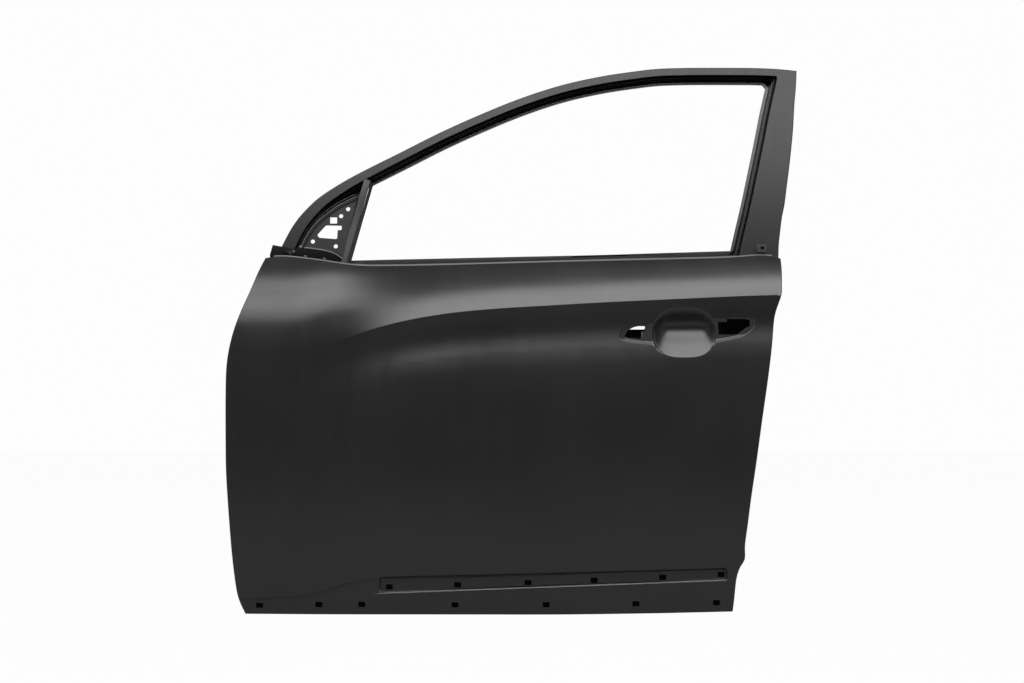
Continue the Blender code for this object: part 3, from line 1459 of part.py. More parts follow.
def main():
    steel = make_finish("primed_steel", (0.030, 0.030, 0.031, 1.0), 0.42, 0.0)
    galvanised = make_finish("primed_brace_steel", (0.028, 0.028, 0.030, 1.0), 0.5, 0.0)
    mastic = make_finish("mastic", (0.045, 0.043, 0.040, 1.0), 0.8, 0.0)
    outer_panel(steel)
    inner_panel(steel)
    header_frame(steel)
    rear_sash_panel(steel)
    glass_channel("roof_glass_channel", roof_run(), frame_foot(), steel)
    glass_channel("rear_glass_channel", rear_run(), folded_foot(), steel)
    division_bar(steel)
    division_glass_channel(steel)
    mirror_plate(steel)
    mirror_brace(galvanised)
    belt_end_clip(steel)
    handle_brace(galvanised)
    outer_belt_brace(galvanised)
    inner_belt_brace(galvanised)
    impact_beam(galvanised)
    beam_bracket("beam_front_bracket", 0.0, 1, beam_front_height(), galvanised)
    low = beam_rear_height()
    beam_bracket("beam_rear_bracket", wall_at(low), -1, low, galvanised)
    bolts = hinge_bolt_cutter()
    cut(hinge_brace("upper_hinge_brace", 0.0, HINGE_BRACE_HEIGHT, galvanised), bolts)
    cut(hinge_brace("lower_hinge_brace", HINGE_SPACING, HINGE_BRACE_HEIGHT, galvanised), bolts)
    cut(hinge_brace("check_link_brace", HINGE_SPACING / 2, CHECK_BRACE_HEIGHT, galvanised),
        check_cutter())
    lock_brace(galvanised)
    for label, drop in (("upper", 0.0), ("lower", HINGE_SPACING)):
        for place, side in (("top", 1), ("bottom", -1)):
            weld_nut(f"{label}_hinge_nut_{place}", side * HINGE_BOLT_PITCH / 2 - drop,
                     hinge_wall(drop), galvanised)
    for i, share in enumerate(PAD_PLACE_SHARES):
        anti_flutter_pad(f"anti_flutter_pad_{i + 1}", share, mastic)
    damping_sheet(mastic)


PARTS = None
CUTTERS = None
clear_scene()
PARTS = make_collection("car_door_shell")
CUTTERS = make_collection("cutters")
main()
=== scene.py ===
# %% [markdown]
# # A car door shell, straight from the primer bath
# The object is the bare front left door of a tall passenger car: a pressed outer skin, a deep
# inner pan, a window frame and the braces between them, all dipped in one satin black primer.
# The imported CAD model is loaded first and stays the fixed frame. Every finer piece below is
# built in metres in that same frame, so nothing is fitted or scaled afterwards.

# %% Load the frame
import math

import bmesh
import bpy
import numpy as np
from mathutils import Matrix, Vector
from mathutils.geometry import delaunay_2d_cdt


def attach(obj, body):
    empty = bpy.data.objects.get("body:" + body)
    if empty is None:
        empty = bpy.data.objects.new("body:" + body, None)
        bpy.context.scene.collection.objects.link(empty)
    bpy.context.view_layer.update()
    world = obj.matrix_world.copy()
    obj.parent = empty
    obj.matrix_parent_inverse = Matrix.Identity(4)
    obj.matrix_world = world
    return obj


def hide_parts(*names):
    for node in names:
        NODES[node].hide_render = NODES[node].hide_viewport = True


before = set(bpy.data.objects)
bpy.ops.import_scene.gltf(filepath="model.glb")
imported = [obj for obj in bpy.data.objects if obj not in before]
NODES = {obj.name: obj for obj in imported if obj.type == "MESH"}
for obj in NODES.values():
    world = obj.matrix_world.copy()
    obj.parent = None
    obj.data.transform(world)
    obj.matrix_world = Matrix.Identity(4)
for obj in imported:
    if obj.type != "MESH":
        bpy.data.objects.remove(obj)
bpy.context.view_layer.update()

# %% [markdown]
# ## Curves and tables
# A pressing tool is cut from smooth guide lines: the outline, the crease, the top of the
# cladding band. Each line here is a short table of points, and one Catmull-Rom reader turns
# any of them into a smooth path. A spline object could do the same, but plain numbers can also
# be read back as a depth, which the surface of the skin needs.

# %% Smooth paths and shifted paths
def smooth_path(points, pitch):
    """Catmull-Rom path through the points, with a step of about one pitch."""
    points = [np.array(p, float) for p in points]
    fine = []
    last = len(points) - 1
    for i in range(last):
        before, start = points[max(i - 1, 0)], points[i]
        end, after = points[i + 1], points[min(i + 2, last)]
        steps = max(1, round(float(np.linalg.norm(end - start)) / pitch))
        for k in range(steps):
            t = k / steps
            fine.append(0.5 * (2 * start + (end - before) * t
                               + (2 * before - 5 * start + 4 * end - after) * t * t
                               + (3 * start - before - 3 * end + after) * t ** 3))
    fine.append(points[-1])
    return [tuple(p) for p in fine]


def move_aside(path, amount, closed=False):
    """Path moved to its left by an amount, with mitred corners."""
    p = np.array(path, float)
    step = np.roll(p, -1, 0) - p
    side = np.stack([-step[:, 1], step[:, 0]], 1)
    side /= np.maximum(np.linalg.norm(side, axis=1, keepdims=True), 1e-9)
    before = np.roll(side, 1, 0)
    if not closed:
        side[-1] = before[-1]
        before[0] = side[0]
    lean = (side + before) / 2
    square = np.maximum((lean ** 2).sum(1, keepdims=True), 0.5)
    return [tuple(q) for q in p + lean * amount / square]

# %% Inside a loop, and distance to a path
def within(points, loop):
    """Which of the flat points lie inside a closed loop."""
    x, z = np.asarray(points, float).T
    found = np.zeros(len(x), bool)
    loop = np.asarray(loop, float)
    for (ax, az), (bx, bz) in zip(loop, np.roll(loop, -1, 0)):
        if az == bz:
            continue
        crosses = (az > z) != (bz > z)
        found ^= crosses & (x < ax + (z - az) * (bx - ax) / (bz - az))
    return found


def gap_to(points, path, closed=True):
    """Distance from each flat point to a path."""
    p = np.asarray(points, float)
    path = np.asarray(path, float)
    ends = np.roll(path, -1, 0) if closed else path[1:]
    best = np.full(len(p), np.inf)
    for start, end in zip(path, ends):
        run = end - start
        square = float(run @ run)
        t = np.clip(((p - start) @ run) / square, 0, 1) if square else np.zeros(len(p))
        best = np.minimum(best, np.linalg.norm(start + t[:, None] * run - p, axis=1))
    return best

# %% Tables, an easing curve and ovals
def read_table(table, value):
    """Curved reading of a table of (place, amount) pairs."""
    places = np.array([row[0] for row in table], float)
    amounts = np.array([row[1] for row in table], float)
    slopes = np.empty(len(places))
    slopes[1:-1] = (amounts[2:] - amounts[:-2]) / (places[2:] - places[:-2])
    slopes[0] = (amounts[1] - amounts[0]) / (places[1] - places[0])
    slopes[-1] = (amounts[-1] - amounts[-2]) / (places[-1] - places[-2])
    value = np.clip(np.asarray(value, float), places[0], places[-1])
    i = np.clip(np.searchsorted(places, value) - 1, 0, len(places) - 2)
    width = places[i + 1] - places[i]
    t = (value - places[i]) / width
    return (amounts[i] * (1 + 2 * t) * (1 - t) ** 2 + amounts[i + 1] * t * t * (3 - 2 * t)
            + slopes[i] * width * t * (1 - t) ** 2
            - slopes[i + 1] * width * t * t * (1 - t))


def in_mm(*points):
    """Profile points given in millimetres."""
    return [(across / 1000, drop / 1000) for across, drop in points]


def ease(value):
    t = np.clip(value, 0, 1)
    return t * t * (3 - 2 * t)


def oval(centre, width, height, sides=24):
    return [(centre[0] + width / 2 * math.cos(math.tau * (i + 0.5) / sides),
             centre[1] + height / 2 * math.sin(math.tau * (i + 0.5) / sides))
            for i in range(sides)]


print("path helpers ready")

# %% [markdown]
# ## The satin black primer
# Electro-dip primer is a thin black film with a satin sheen. Close up it has a faint orange
# peel, and light streaks run down it where the bath drained. Both effects return on every
# pressing, so they are one shader group, placed in each material with its own scales. Only
# masks and a height leave the group: the shader itself stays in the material.

# %% Shader group for the dipped film
def new_group(name, inputs, outputs):
    tree = bpy.data.node_groups.new(name, "ShaderNodeTree")
    for label, value in inputs:
        socket = tree.interface.new_socket(label, in_out="INPUT", socket_type="NodeSocketFloat")
        socket.default_value = value
    for label in outputs:
        tree.interface.new_socket(label, in_out="OUTPUT", socket_type="NodeSocketFloat")
    return tree, tree.nodes.new("NodeGroupInput"), tree.nodes.new("NodeGroupOutput")


def join(tree, source, socket, target, into):
    tree.links.new(source.outputs[socket], target.inputs[into])


def add_node(tree, kind, group=None, **values):
    """New node; the keywords name its inputs, with _ for a space."""
    node = tree.nodes.new(kind)
    if group:
        node.node_tree = group
    for label, value in values.items():
        node.inputs[label.replace("_", " ")].default_value = value
    return node


def math_node(tree, kind, first, second=None, clamp=False):
    """Math node; each argument is a number or a (node, socket) pair."""
    node = tree.nodes.new("ShaderNodeMath")
    node.operation = kind
    node.use_clamp = clamp
    for i, value in enumerate((first, second)):
        if isinstance(value, tuple):
            join(tree, value[0], value[1], node, i)
        elif value is not None:
            node.inputs[i].default_value = value
    return node


def stretched_noise(tree, stretch, scale_from, scale_times, detail):
    """Noise on Object coordinates, squeezed along the axes by the stretch."""
    place = add_node(tree, "ShaderNodeTexCoord")
    turn = add_node(tree, "ShaderNodeMapping", Scale=stretch)
    noise = add_node(tree, "ShaderNodeTexNoise", Detail=detail)
    join(tree, place, "Object", turn, "Vector")
    join(tree, turn, "Vector", noise, "Vector")
    times = math_node(tree, "MULTIPLY", scale_from, scale_times)
    join(tree, times, 0, noise, "Scale")
    return noise


def build_film_group():
    tree, start, end = new_group("dipped_film", [("Peel Scale", 220.0), ("Streak Scale", 9.0)],
                                 ["Height", "Sheen Mask", "Shade Mask"])
    peel = stretched_noise(tree, (1, 1, 1), (start, "Peel Scale"), 1.0, 2.0)
    streak = stretched_noise(tree, (6, 6, 0.35), (start, "Streak Scale"), 1.0, 3.0)
    cloud = stretched_noise(tree, (1, 1, 1), (start, "Streak Scale"), 0.7, 4.0)
    half = math_node(tree, "MULTIPLY", (streak, 0), 0.6)
    rest = math_node(tree, "MULTIPLY", (peel, 0), 0.4)
    height = math_node(tree, "ADD", (half, 0), (rest, 0))
    join(tree, height, 0, end, "Height")
    blend = math_node(tree, "MULTIPLY", (streak, 0), (cloud, 0))
    sheen = math_node(tree, "MULTIPLY", (blend, 0), 2.6, clamp=True)
    join(tree, sheen, 0, end, "Sheen Mask")
    shade = math_node(tree, "MULTIPLY", (cloud, 0), 1.4, clamp=True)
    join(tree, shade, 0, end, "Shade Mask")
    return tree


FILM = build_film_group()
print("shader group:", FILM.name, "with", len(FILM.nodes), "nodes")

# %% [markdown]
# Dust settles on faces that look up. A second group gives a mask from the height of the face's
# normal, broken up by noise, and each material lightens its ledges a little with it.

# %% Shader group for settled dust
def build_dust_group():
    tree, start, end = new_group("settled_dust", [("Amount", 0.3), ("Grain Scale", 60.0)],
                                 ["Dust Mask"])
    face = add_node(tree, "ShaderNodeNewGeometry")
    split = add_node(tree, "ShaderNodeSeparateXYZ")
    join(tree, face, "Normal", split, 0)
    up = math_node(tree, "SUBTRACT", (split, "Z"), 0.35)
    grain = stretched_noise(tree, (1, 1, 1), (start, "Grain Scale"), 1.0, 5.0)
    mixed = math_node(tree, "MULTIPLY", (up, 0), (grain, 0), clamp=True)
    amount = math_node(tree, "MULTIPLY", (mixed, 0), (start, "Amount"))
    join(tree, amount, 0, end, "Dust Mask")
    return tree


DUST = build_dust_group()
print("shader group:", DUST.name)

# %% [markdown]
# Each finish is a material that places both groups. The skin, the inner pressings and the
# braces share one primer, but thicker brackets were dipped as blanks and look a shade duller.
# The mastic and the sealing rubber are matt. Constant values sit on the shader's own sockets.

# %% Finishes
DUST_COLOUR = (0.22, 0.215, 0.205, 1)


def finish(name, dark, light, rough, peel, streak, bump, dust, specular=0.5):
    material = bpy.data.materials.new(name)
    material.use_nodes = True
    tree = material.node_tree
    shader = tree.nodes["Principled BSDF"]
    shader.inputs["IOR"].default_value = 1.6
    shader.inputs["Specular IOR Level"].default_value = specular
    film = add_node(tree, "ShaderNodeGroup", FILM, Peel_Scale=peel, Streak_Scale=streak)
    settled = add_node(tree, "ShaderNodeGroup", DUST, Amount=dust)
    colour, dusty = [add_node(tree, "ShaderNodeMix") for _ in range(2)]
    colour.data_type = dusty.data_type = "RGBA"
    colour.inputs[6].default_value = (*dark, 1)
    colour.inputs[7].default_value = (*light, 1)
    dusty.inputs[7].default_value = DUST_COLOUR
    join(tree, film, "Shade Mask", colour, 0)
    join(tree, settled, "Dust Mask", dusty, 0)
    join(tree, colour, 2, dusty, 6)
    join(tree, dusty, 2, shader, "Base Color")
    spread = add_node(tree, "ShaderNodeMapRange", To_Min=rough[0], To_Max=rough[1])
    join(tree, film, "Sheen Mask", spread, "Value")
    join(tree, spread, 0, shader, "Roughness")
    relief = add_node(tree, "ShaderNodeBump", Strength=1.0, Distance=bump)
    join(tree, film, "Height", relief, "Height")
    join(tree, relief, "Normal", shader, "Normal")
    return material


SKIN_FINISH = finish("skin_primer", (0.006, 0.006, 0.0062), (0.012, 0.012, 0.0123),
                     (0.27, 0.36), 240, 7, 0.0001, 0.03)
PANEL_FINISH = finish("panel_primer", (0.007, 0.007, 0.0072), (0.014, 0.014, 0.0143),
                      (0.3, 0.42), 260, 11, 0.00012, 0.08)
FRAME_FINISH = finish("frame_primer", (0.007, 0.007, 0.0072), (0.013, 0.013, 0.0133),
                      (0.33, 0.44), 260, 11, 0.00012, 0.06, 0.27)
BRACE_FINISH = finish("brace_primer", (0.010, 0.010, 0.0105), (0.020, 0.020, 0.021),
                      (0.45, 0.62), 300, 15, 0.0003, 0.15, 0.25)
# Light grey finish for thin edges, beads and welds: a painted highlight that stands in for the
# bright lines the light draws along them.
EDGE_HIGHLIGHT_FINISH = finish("painted_edge_highlight", (0.110, 0.110, 0.112), (0.170, 0.170, 0.173),
                     (0.42, 0.55), 300, 15, 0.0002, 0.1, 0.4)
# Near-black matt finish for the caps behind the clip holes and the eyes: painted shade for the
# dark cavity seen through them.
HOLE_SHADE_FINISH = finish("painted_hole_shade", (0.0006, 0.0006, 0.0006), (0.0012, 0.0012, 0.0012),
                    (0.8, 0.9), 400, 15, 0.0002, 0.0, 0.05)
BAR_FINISH = finish("bar_primer", (0.034, 0.034, 0.0345), (0.052, 0.052, 0.053),
                    (0.45, 0.6), 300, 15, 0.0003, 0.1, 0.35)
MASTIC_FINISH = finish("grey_mastic", (0.045, 0.044, 0.042), (0.085, 0.083, 0.078),
                       (0.65, 0.85), 180, 20, 0.0008, 0.2, 0.3)
RUBBER_FINISH = finish("run_rubber", (0.008, 0.008, 0.008), (0.015, 0.015, 0.015),
                       (0.6, 0.8), 400, 12, 0.0002, 0.05, 0.3)
print("materials:", [m.name for m in bpy.data.materials])

# %% [markdown]
# Every node that stays from the CAD model gets one of these finishes by assigning to its
# material slot. Its mesh is never touched.

# %% Dress the CAD nodes
SOFT_NODES = {"anti_flutter_pad_1", "anti_flutter_pad_2", "anti_flutter_pad_3",
              "damping_sheet"}
PRESSED_NODES = {"outer_panel", "inner_panel", "header_frame", "rear_sash_panel",
                 "roof_glass_channel", "division_glass_channel", "division_bar",
                 "mirror_plate", "rear_glass_channel"}


def finish_for(name):
    if name in SOFT_NODES:
        return MASTIC_FINISH
    return PANEL_FINISH if name in PRESSED_NODES else BRACE_FINISH


for name, node in NODES.items():
    node.data.materials.clear()
    node.data.materials.append(finish_for(name))
print("dressed", len(NODES), "nodes")

# %% [markdown]
# ## Pressed sheets
# A pressing starts as flat sheet and takes its form from the die, so a piece here starts as a
# flat outline with its holes and fold lines. A constrained Delaunay fill keeps every fold as
# an edge, and a rule then says how deep each point lies. The slope of the rule also gives
# exact normals, which keeps the satin reflections clean, and a second skin one sheet
# thickness behind the first closes the piece.

# %% Extents of the door, and slopes of its surfaces
HINGE_DEPTH = 0.07
FRONT_X, REAR_X = -0.036, 1.08
BELT_Z, BOTTOM_Z, GRID_TOP = 0.181, -0.541, 0.6
PANEL_LENGTH, PANEL_HEIGHT, FRAME_HEIGHT = 1.116, 0.722, 0.38
THIN_SHEET, BRACE_SHEET = 0.0008, 0.001
PROBE, CLEARANCE = 0.0004, 0.45
MERGE, SLIVER = 1e-6, 1e-10


def slopes(depth, x, z):
    """How fast a surface y = depth(x, z) falls back along x and along z."""
    return [(depth(x + i, z + k) - depth(x - i, z - k)) / (2 * PROBE)
            for i, k in ((PROBE, 0), (0, PROBE))]


def steepness(depth, x, z):
    side, rise = slopes(depth, x, z)
    return np.sqrt(1 + rise * rise + side * side)


def normals_of(depth, flat):
    """Unit normals, pointing outboard, at flat points of the surface."""
    side, rise = slopes(depth, *flat.T)
    normal = np.stack([side, -np.ones(len(flat)), rise], 1)
    return normal / np.linalg.norm(normal, axis=1, keepdims=True)


def placed(depth, flat, behind=0.0):
    """Flat points set on the surface, or some way behind it."""
    x, z = np.array(flat).T
    return np.stack([x, depth(x, z) + behind - HINGE_DEPTH, z], 1)

# %% Fill between folds
def spread_spots(loop, pitch, clear_of):
    """Even grid inside the loop, away from every fold."""
    x, z = np.meshgrid(np.arange(FRONT_X, REAR_X + pitch, pitch),
                       np.arange(BOTTOM_Z, GRID_TOP, pitch))
    x = x + (np.arange(x.shape[0])[:, None] % 2) * pitch / 2
    spots = np.stack([x.ravel(), z.ravel()], 1)
    spots = spots[within(spots, loop)]
    ok = np.ones(len(spots), bool)
    for path, closed in clear_of:
        if len(path) > 1:
            ok &= gap_to(spots, path, closed) > pitch * CLEARANCE
    return [tuple(p) for p in spots[ok]]


def flat_fill(outline, holes, folds, grids):
    """Flat points and triangles inside the outline, with a (loop, pitch) grid for each part."""
    lines = [(outline, True)] + [(h, True) for h in holes] + folds
    places, edges = [], []
    for path, closed in lines:
        first, count = len(places), len(path)
        places.extend(path)
        edges += [(first + i, first + (i + 1) % count)
                  for i in range(count if closed else count - 1)]
    for loop, pitch in grids:
        places.extend(spread_spots(loop, pitch, lines))
    points, _, faces, _, _, _ = delaunay_2d_cdt([Vector(p) for p in places], edges, [], 0,
                                                MERGE, False)
    points = np.array([tuple(p) for p in points])
    faces = np.array([tuple(f) for f in faces if len(f) == 3])
    middles = points[faces].mean(1)
    keep = within(middles, outline)
    for hole in holes:
        keep &= ~within(middles, hole)
    faces = faces[keep]
    a, b, c = points[faces[:, 0]], points[faces[:, 1]], points[faces[:, 2]]
    area = (b[:, 0] - a[:, 0]) * (c[:, 1] - a[:, 1]) - (b[:, 1] - a[:, 1]) * (c[:, 0] - a[:, 0])
    solid = np.abs(area) > SLIVER
    faces, flip = faces[solid], area[solid] < 0
    faces[flip] = faces[flip][:, ::-1]
    used, index = np.unique(faces, return_inverse=True)
    return points[used], index.reshape(-1, 3)


def boundary_edges(faces):
    """Directed edges that only one triangle has."""
    seen = {}
    for tri in faces:
        for i in range(3):
            seen[(tri[i], tri[(i + 1) % 3])] = True
    return [pair for pair in seen if (pair[1], pair[0]) not in seen]

# %% Closed sheets
def add_object(name, data):
    item = bpy.data.objects.new(name, data)
    bpy.context.scene.collection.objects.link(item)
    return item


def make_piece(name, verts, faces, material, normals=None):
    mesh = bpy.data.meshes.new(name)
    mesh.from_pydata([tuple(v) for v in verts], [], [tuple(int(i) for i in f) for f in faces])
    mesh.validate()
    mesh.materials.append(material)
    mesh.shade_smooth()
    if normals is not None and len(mesh.vertices) == len(normals):
        mesh.normals_split_custom_set_from_vertices([tuple(n) for n in normals])
    return add_object(name, mesh)


def settle(item, *nodes, slot="primed_steel"):
    """Rides a finished piece on the door and hides the CAD nodes it stands for."""
    if nodes:
        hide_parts(*nodes)
    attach(item, "root")
    print(item.name, len(item.data.polygons), "faces")


def pressed_sheet(name, outline, holes, folds, grids, depth, sheet, material, *nodes):
    """Closed sheet of even thickness on the surface y = depth(x, z) - HINGE_DEPTH."""
    flat, faces = flat_fill(outline, holes, folds, grids)
    normal = normals_of(depth, flat)
    outer = placed(depth, flat)
    count = len(outer)
    shell = [tuple(f) for f in faces] + [tuple(f[::-1] + count) for f in faces]
    shell += [(b, a, a + count, b + count) for a, b in boundary_edges(faces)]
    settle(make_piece(name, np.vstack([outer, outer - normal * sheet]), shell, material,
                      np.vstack([normal, -normal])), *nodes)


print("pressing helpers ready")

# %% [markdown]
# ## The outer skin
# The skin is one big pressing with a low crown. Its character line rises from the front and
# runs level to the rear: above it the metal leans in to the belt, below it a soft scoop falls
# away. Near the front edge the line fades into a plain round shoulder. One rule gives the
# depth of every point, so a subdivision cage or a stack of curves is not needed, and the same
# rule later seats the clips and the folded edges.

# %% Form of the skin
SCOOP, BELT_DROP, TUCK = 0.018, 0.052, 0.018
BOW_MIDDLE, BOW_FRONT, BOW_REAR = 0.56, 0.01, 0.005
SHOULDER_GROWTH, SHOULDER_FROM, SHOULDER_RUN = 0.24, 0.2, 0.12
FADE_FROM, FADE_RUN = 0.12, 0.25


def on_panel(x_share, z_share):
    return (x_share * PANEL_LENGTH + FRONT_X, z_share * PANEL_HEIGHT + BOTTOM_Z)


def on_frame(x_share, z_share):
    return (x_share * PANEL_LENGTH + FRONT_X, z_share * FRAME_HEIGHT + BELT_Z)


def panel_line(*shares):
    """Points given as shares of the panel's length and height."""
    return [on_panel(*p) for p in shares]


def frame_line(*shares):
    """Points given as shares of the panel's length and of the frame's height."""
    return [on_frame(*p) for p in shares]


print("panel from", on_panel(0, 0), "to", on_panel(1, 1))

# %% Lines and sections of the skin
CREASE_LINE = panel_line(
    (0.02, 0.66), (0.1181, 0.716), (0.1604, 0.741), (0.2148, 0.768), (0.2693, 0.795),
    (0.3301, 0.8186), (0.4038, 0.8375), (0.4928, 0.8505), (0.5825, 0.8588), (0.6722, 0.867),
    (0.7618, 0.8735), (0.8515, 0.88), (0.9233, 0.885), (1.0006, 0.889), (1.06, 0.892))
SCOOP_SECTION = ((0.5, 0.0), (0.62, 0.03), (0.7, 0.1), (0.76, 0.22), (0.81, 0.42),
                 (0.85, 0.73), (0.885, 1.08), (0.91, 1.28), (0.93, 1.33), (0.96, 1.25),
                 (1.0, 1.0))
BELT_SECTION = ((0.0, 0.0), (0.12, 0.23), (0.25, 0.45), (0.38, 0.615), (0.52, 0.74),
                (0.66, 0.835), (0.8, 0.915), (1.0, 1.0))
SHOULDER_SECTION = ((0.0, 1.0), (0.045, 0.85), (0.086, 0.59), (0.13, 0.28),
                    (0.16, 0.12), (0.2, 0.02), (0.23, 0.0), (1.1, 0.0))


print("crease points:", len(CREASE_LINE))

# %% Depth of the plain skin
def bow(x):
    """Plan curve of the whole door, to the front and to the rear of its middle."""
    middle = BOW_MIDDLE * PANEL_LENGTH + FRONT_X
    return np.where(x < middle, BOW_FRONT * ((middle - x) / (middle - FRONT_X)) ** 2,
                    BOW_REAR * ((x - middle) / (REAR_X - middle)) ** 2)


def plain_depth(x, z):
    """Depth of the skin before the handle cup, the pockets and the cladding band."""
    crease = read_table(CREASE_LINE, x)
    share = np.clip((z - BOTTOM_Z) / (crease - BOTTOM_Z), 0, 1)
    low = SCOOP * read_table(SCOOP_SECTION, share)
    rise = np.clip((z - crease) / (BELT_Z - crease), 0, 1)
    high = SCOOP + (BELT_DROP - SCOOP) * read_table(BELT_SECTION, rise)
    sharp = np.where(z < crease, low, high)
    stretch = 1 + SHOULDER_GROWTH * ease((SHOULDER_FROM - x) / SHOULDER_RUN)
    soft = BELT_DROP * read_table(SHOULDER_SECTION, (BELT_Z - z) / PANEL_HEIGHT / stretch)
    blend = ease(((x - FRONT_X) / PANEL_LENGTH - FADE_FROM) / FADE_RUN)
    tuck = np.maximum(0, 1 - (z - BOTTOM_Z) / (PANEL_HEIGHT / 2))
    return bow(x) + soft + (sharp - soft) * blend + TUCK * tuck * tuck

# %% Cladding band and clip recess
BAND_LINE = panel_line(
    (0.0, 0.04), (0.0796, 0.0454), (0.1291, 0.05), (0.1506, 0.055), (0.1785, 0.068),
    (0.2064, 0.081), (0.2414, 0.094), (0.2737, 0.1), (0.4389, 0.1046), (0.658, 0.115),
    (0.8967, 0.13), (0.9325, 0.147), (1.06, 0.16))
BAND_STEP, BAND_RUN = 0.003, 0.004


def rounded(corners, radius):
    """Loop through the corners, each one cut to a short arc."""
    loop = []
    count = len(corners)
    for i, corner in enumerate(corners):
        corner = np.array(corner, float)
        ways = [np.array(corners[i - 1]) - corner, np.array(corners[(i + 1) % count]) - corner]
        start, end = [corner + w * min(radius / np.linalg.norm(w), 0.45) for w in ways]
        for t in (0.0, 0.2, 0.4, 0.6, 0.8, 1.0):
            loop.append(tuple((1 - t) ** 2 * start + 2 * t * (1 - t) * corner + t * t * end))
    return loop


def rectangle(left, foot, right, top, radius):
    """Rectangle with short arcs for corners."""
    return rounded([(left, foot), (right, foot), (right, top), (left, top)], radius)


RECESS = rounded([(0.2716, -0.464), (0.2716, -0.4991), (0.9706, -0.4726),
                  (0.9706, -0.447)], 0.01)
RECESS_DROP, RECESS_WALL = 0.005, 0.004


def band_depth(x, z):
    """Step into the cladding band, and the clip recess along its top."""
    line = np.interp(x, *np.array(BAND_LINE).T)
    depth = BAND_STEP * ease((line - z) / BAND_RUN + 0.5)
    points = np.stack([x, z], 1)
    near = within(points, RECESS)
    if near.any():
        depth[near] += RECESS_DROP * ease(gap_to(points[near], RECESS) / RECESS_WALL)
    return depth


print("crease at mid door:", round(float(read_table(CREASE_LINE, 0.5)), 4))

# %% [markdown]
# The finger cup behind the pull handle is a soft dish, deepest a little above its middle. The
# two pockets beside it, where the handle's feet sit on gaskets, share one shallow step that
# runs under the cup and gives it a crisp lower rim. The same tool presses them all, so their
# depth joins the same rule.

# %% Handle cup and pockets
CUP = (0.8836, 0.0261)
CUP_HALF, CUP_DROP, CUP_SQUARE = (0.062, 0.051), 0.024, 2.7
CUP_VALLEY, CUP_TIP, CUP_RIM = 0.56, 0.38, (0.97, 0.05)
POCKET_STEPS = ((0.003, 0.0, 0.002), (0.0012, 0.0046, 0.0014))  # drop, from, run
STEP_LOOP = smooth_path([
    (0.8168, 0.0439), (0.804, 0.0421), (0.7811, 0.0409), (0.7657, 0.0345),
    (0.7555, 0.0267), (0.7526, 0.0204), (0.7555, 0.0132), (0.7657, 0.0076),
    (0.7914, 0.0038), (0.8194, 0.0004), (0.8249, -0.0048), (0.8323, -0.0125),
    (0.8475, -0.0205), (0.864, -0.0241), (0.881, -0.0249), (0.9091, -0.0231),
    (0.9292, -0.0155), (0.9396, -0.0052), (0.946, 0.0044), (0.9705, 0.01),
    (1.0012, 0.0178), (1.019, 0.0307), (1.0267, 0.0421), (1.0281, 0.0485),
    (1.0255, 0.0535), (1.0164, 0.0584), (0.996, 0.0588), (0.9705, 0.0567),
    (0.9422, 0.0555)], 0.004)
FRONT_OPENING = rounded([
    (0.7646, 0.0271), (0.7696, 0.0311), (0.7836, 0.0367), (0.8041, 0.0387),
    (0.8139, 0.0349), (0.8159, 0.0281), (0.8159, 0.014), (0.7969, 0.0124),
    (0.7688, 0.014), (0.7646, 0.018)], 0.0016)
REAR_OPENING = rounded([
    (0.9514, 0.0471), (0.9666, 0.0471), (0.9706, 0.0523), (1.0064, 0.0536),
    (1.0064, 0.0505), (1.0154, 0.0497), (1.0162, 0.0377), (1.0076, 0.0345),
    (0.9987, 0.0243), (0.9809, 0.0186), (0.9684, 0.0186), (0.9666, 0.0204),
    (0.9526, 0.0204)], 0.0012)


def cup_shape(across, up):
    """Share of the cup's depth: a level valley, a straight low wall and a soft high one."""
    side = np.minimum(np.abs(across), 1)
    rim = np.maximum((1 - side ** CUP_SQUARE) ** (1 / CUP_SQUARE), 1e-6)
    place = np.clip((up + rim) / (2 * rim), 0, 1)
    below = 1 - np.minimum(place / CUP_VALLEY, 1)
    low = 1 - (np.hypot(below, CUP_TIP) - CUP_TIP) / (math.hypot(1, CUP_TIP) - CUP_TIP)
    above = np.clip((place - CUP_VALLEY) / (1 - CUP_VALLEY), 0, 1)
    high = (1 - above * above) ** 2
    return np.where(place < CUP_VALLEY, low, high) * (1 - side ** 4) ** 1.2


def cup_reach(across, up):
    """Distance from the middle of the cup, 1 on its squared oval."""
    return (np.abs(across) ** CUP_SQUARE + np.abs(up) ** CUP_SQUARE) ** (1 / CUP_SQUARE)


def handle_depth(x, z):
    across, up = (x - CUP[0]) / CUP_HALF[0], (z - CUP[1]) / CUP_HALF[1]
    cup = CUP_DROP * cup_shape(across, up)
    points = np.stack([x, z], 1)
    step = np.zeros(len(x))
    near = within(points, STEP_LOOP)
    if near.any():
        gap = gap_to(points[near], STEP_LOOP)
        step[near] = sum(drop * ease((gap - start) / run) for drop, start, run in POCKET_STEPS)
    step *= ease((cup_reach(across, up) - CUP_RIM[0]) / CUP_RIM[1])
    return np.maximum(cup, 0) + step


def skin_depth(x, z):
    return plain_depth(x, z) + band_depth(x, z) + handle_depth(x, z)


print("cup floor depth:", skin_depth(*np.array([CUP]).T).round(4))

# %% [markdown]
# The outline is four smooth runs that meet in real corners: front, bottom, rear and belt. The
# skin's points follow the outline, the crease, the band and the rims in close rows, with an
# even grid of about a centimetre between them, so a bend gets many narrow faces and flat
# metal gets few.

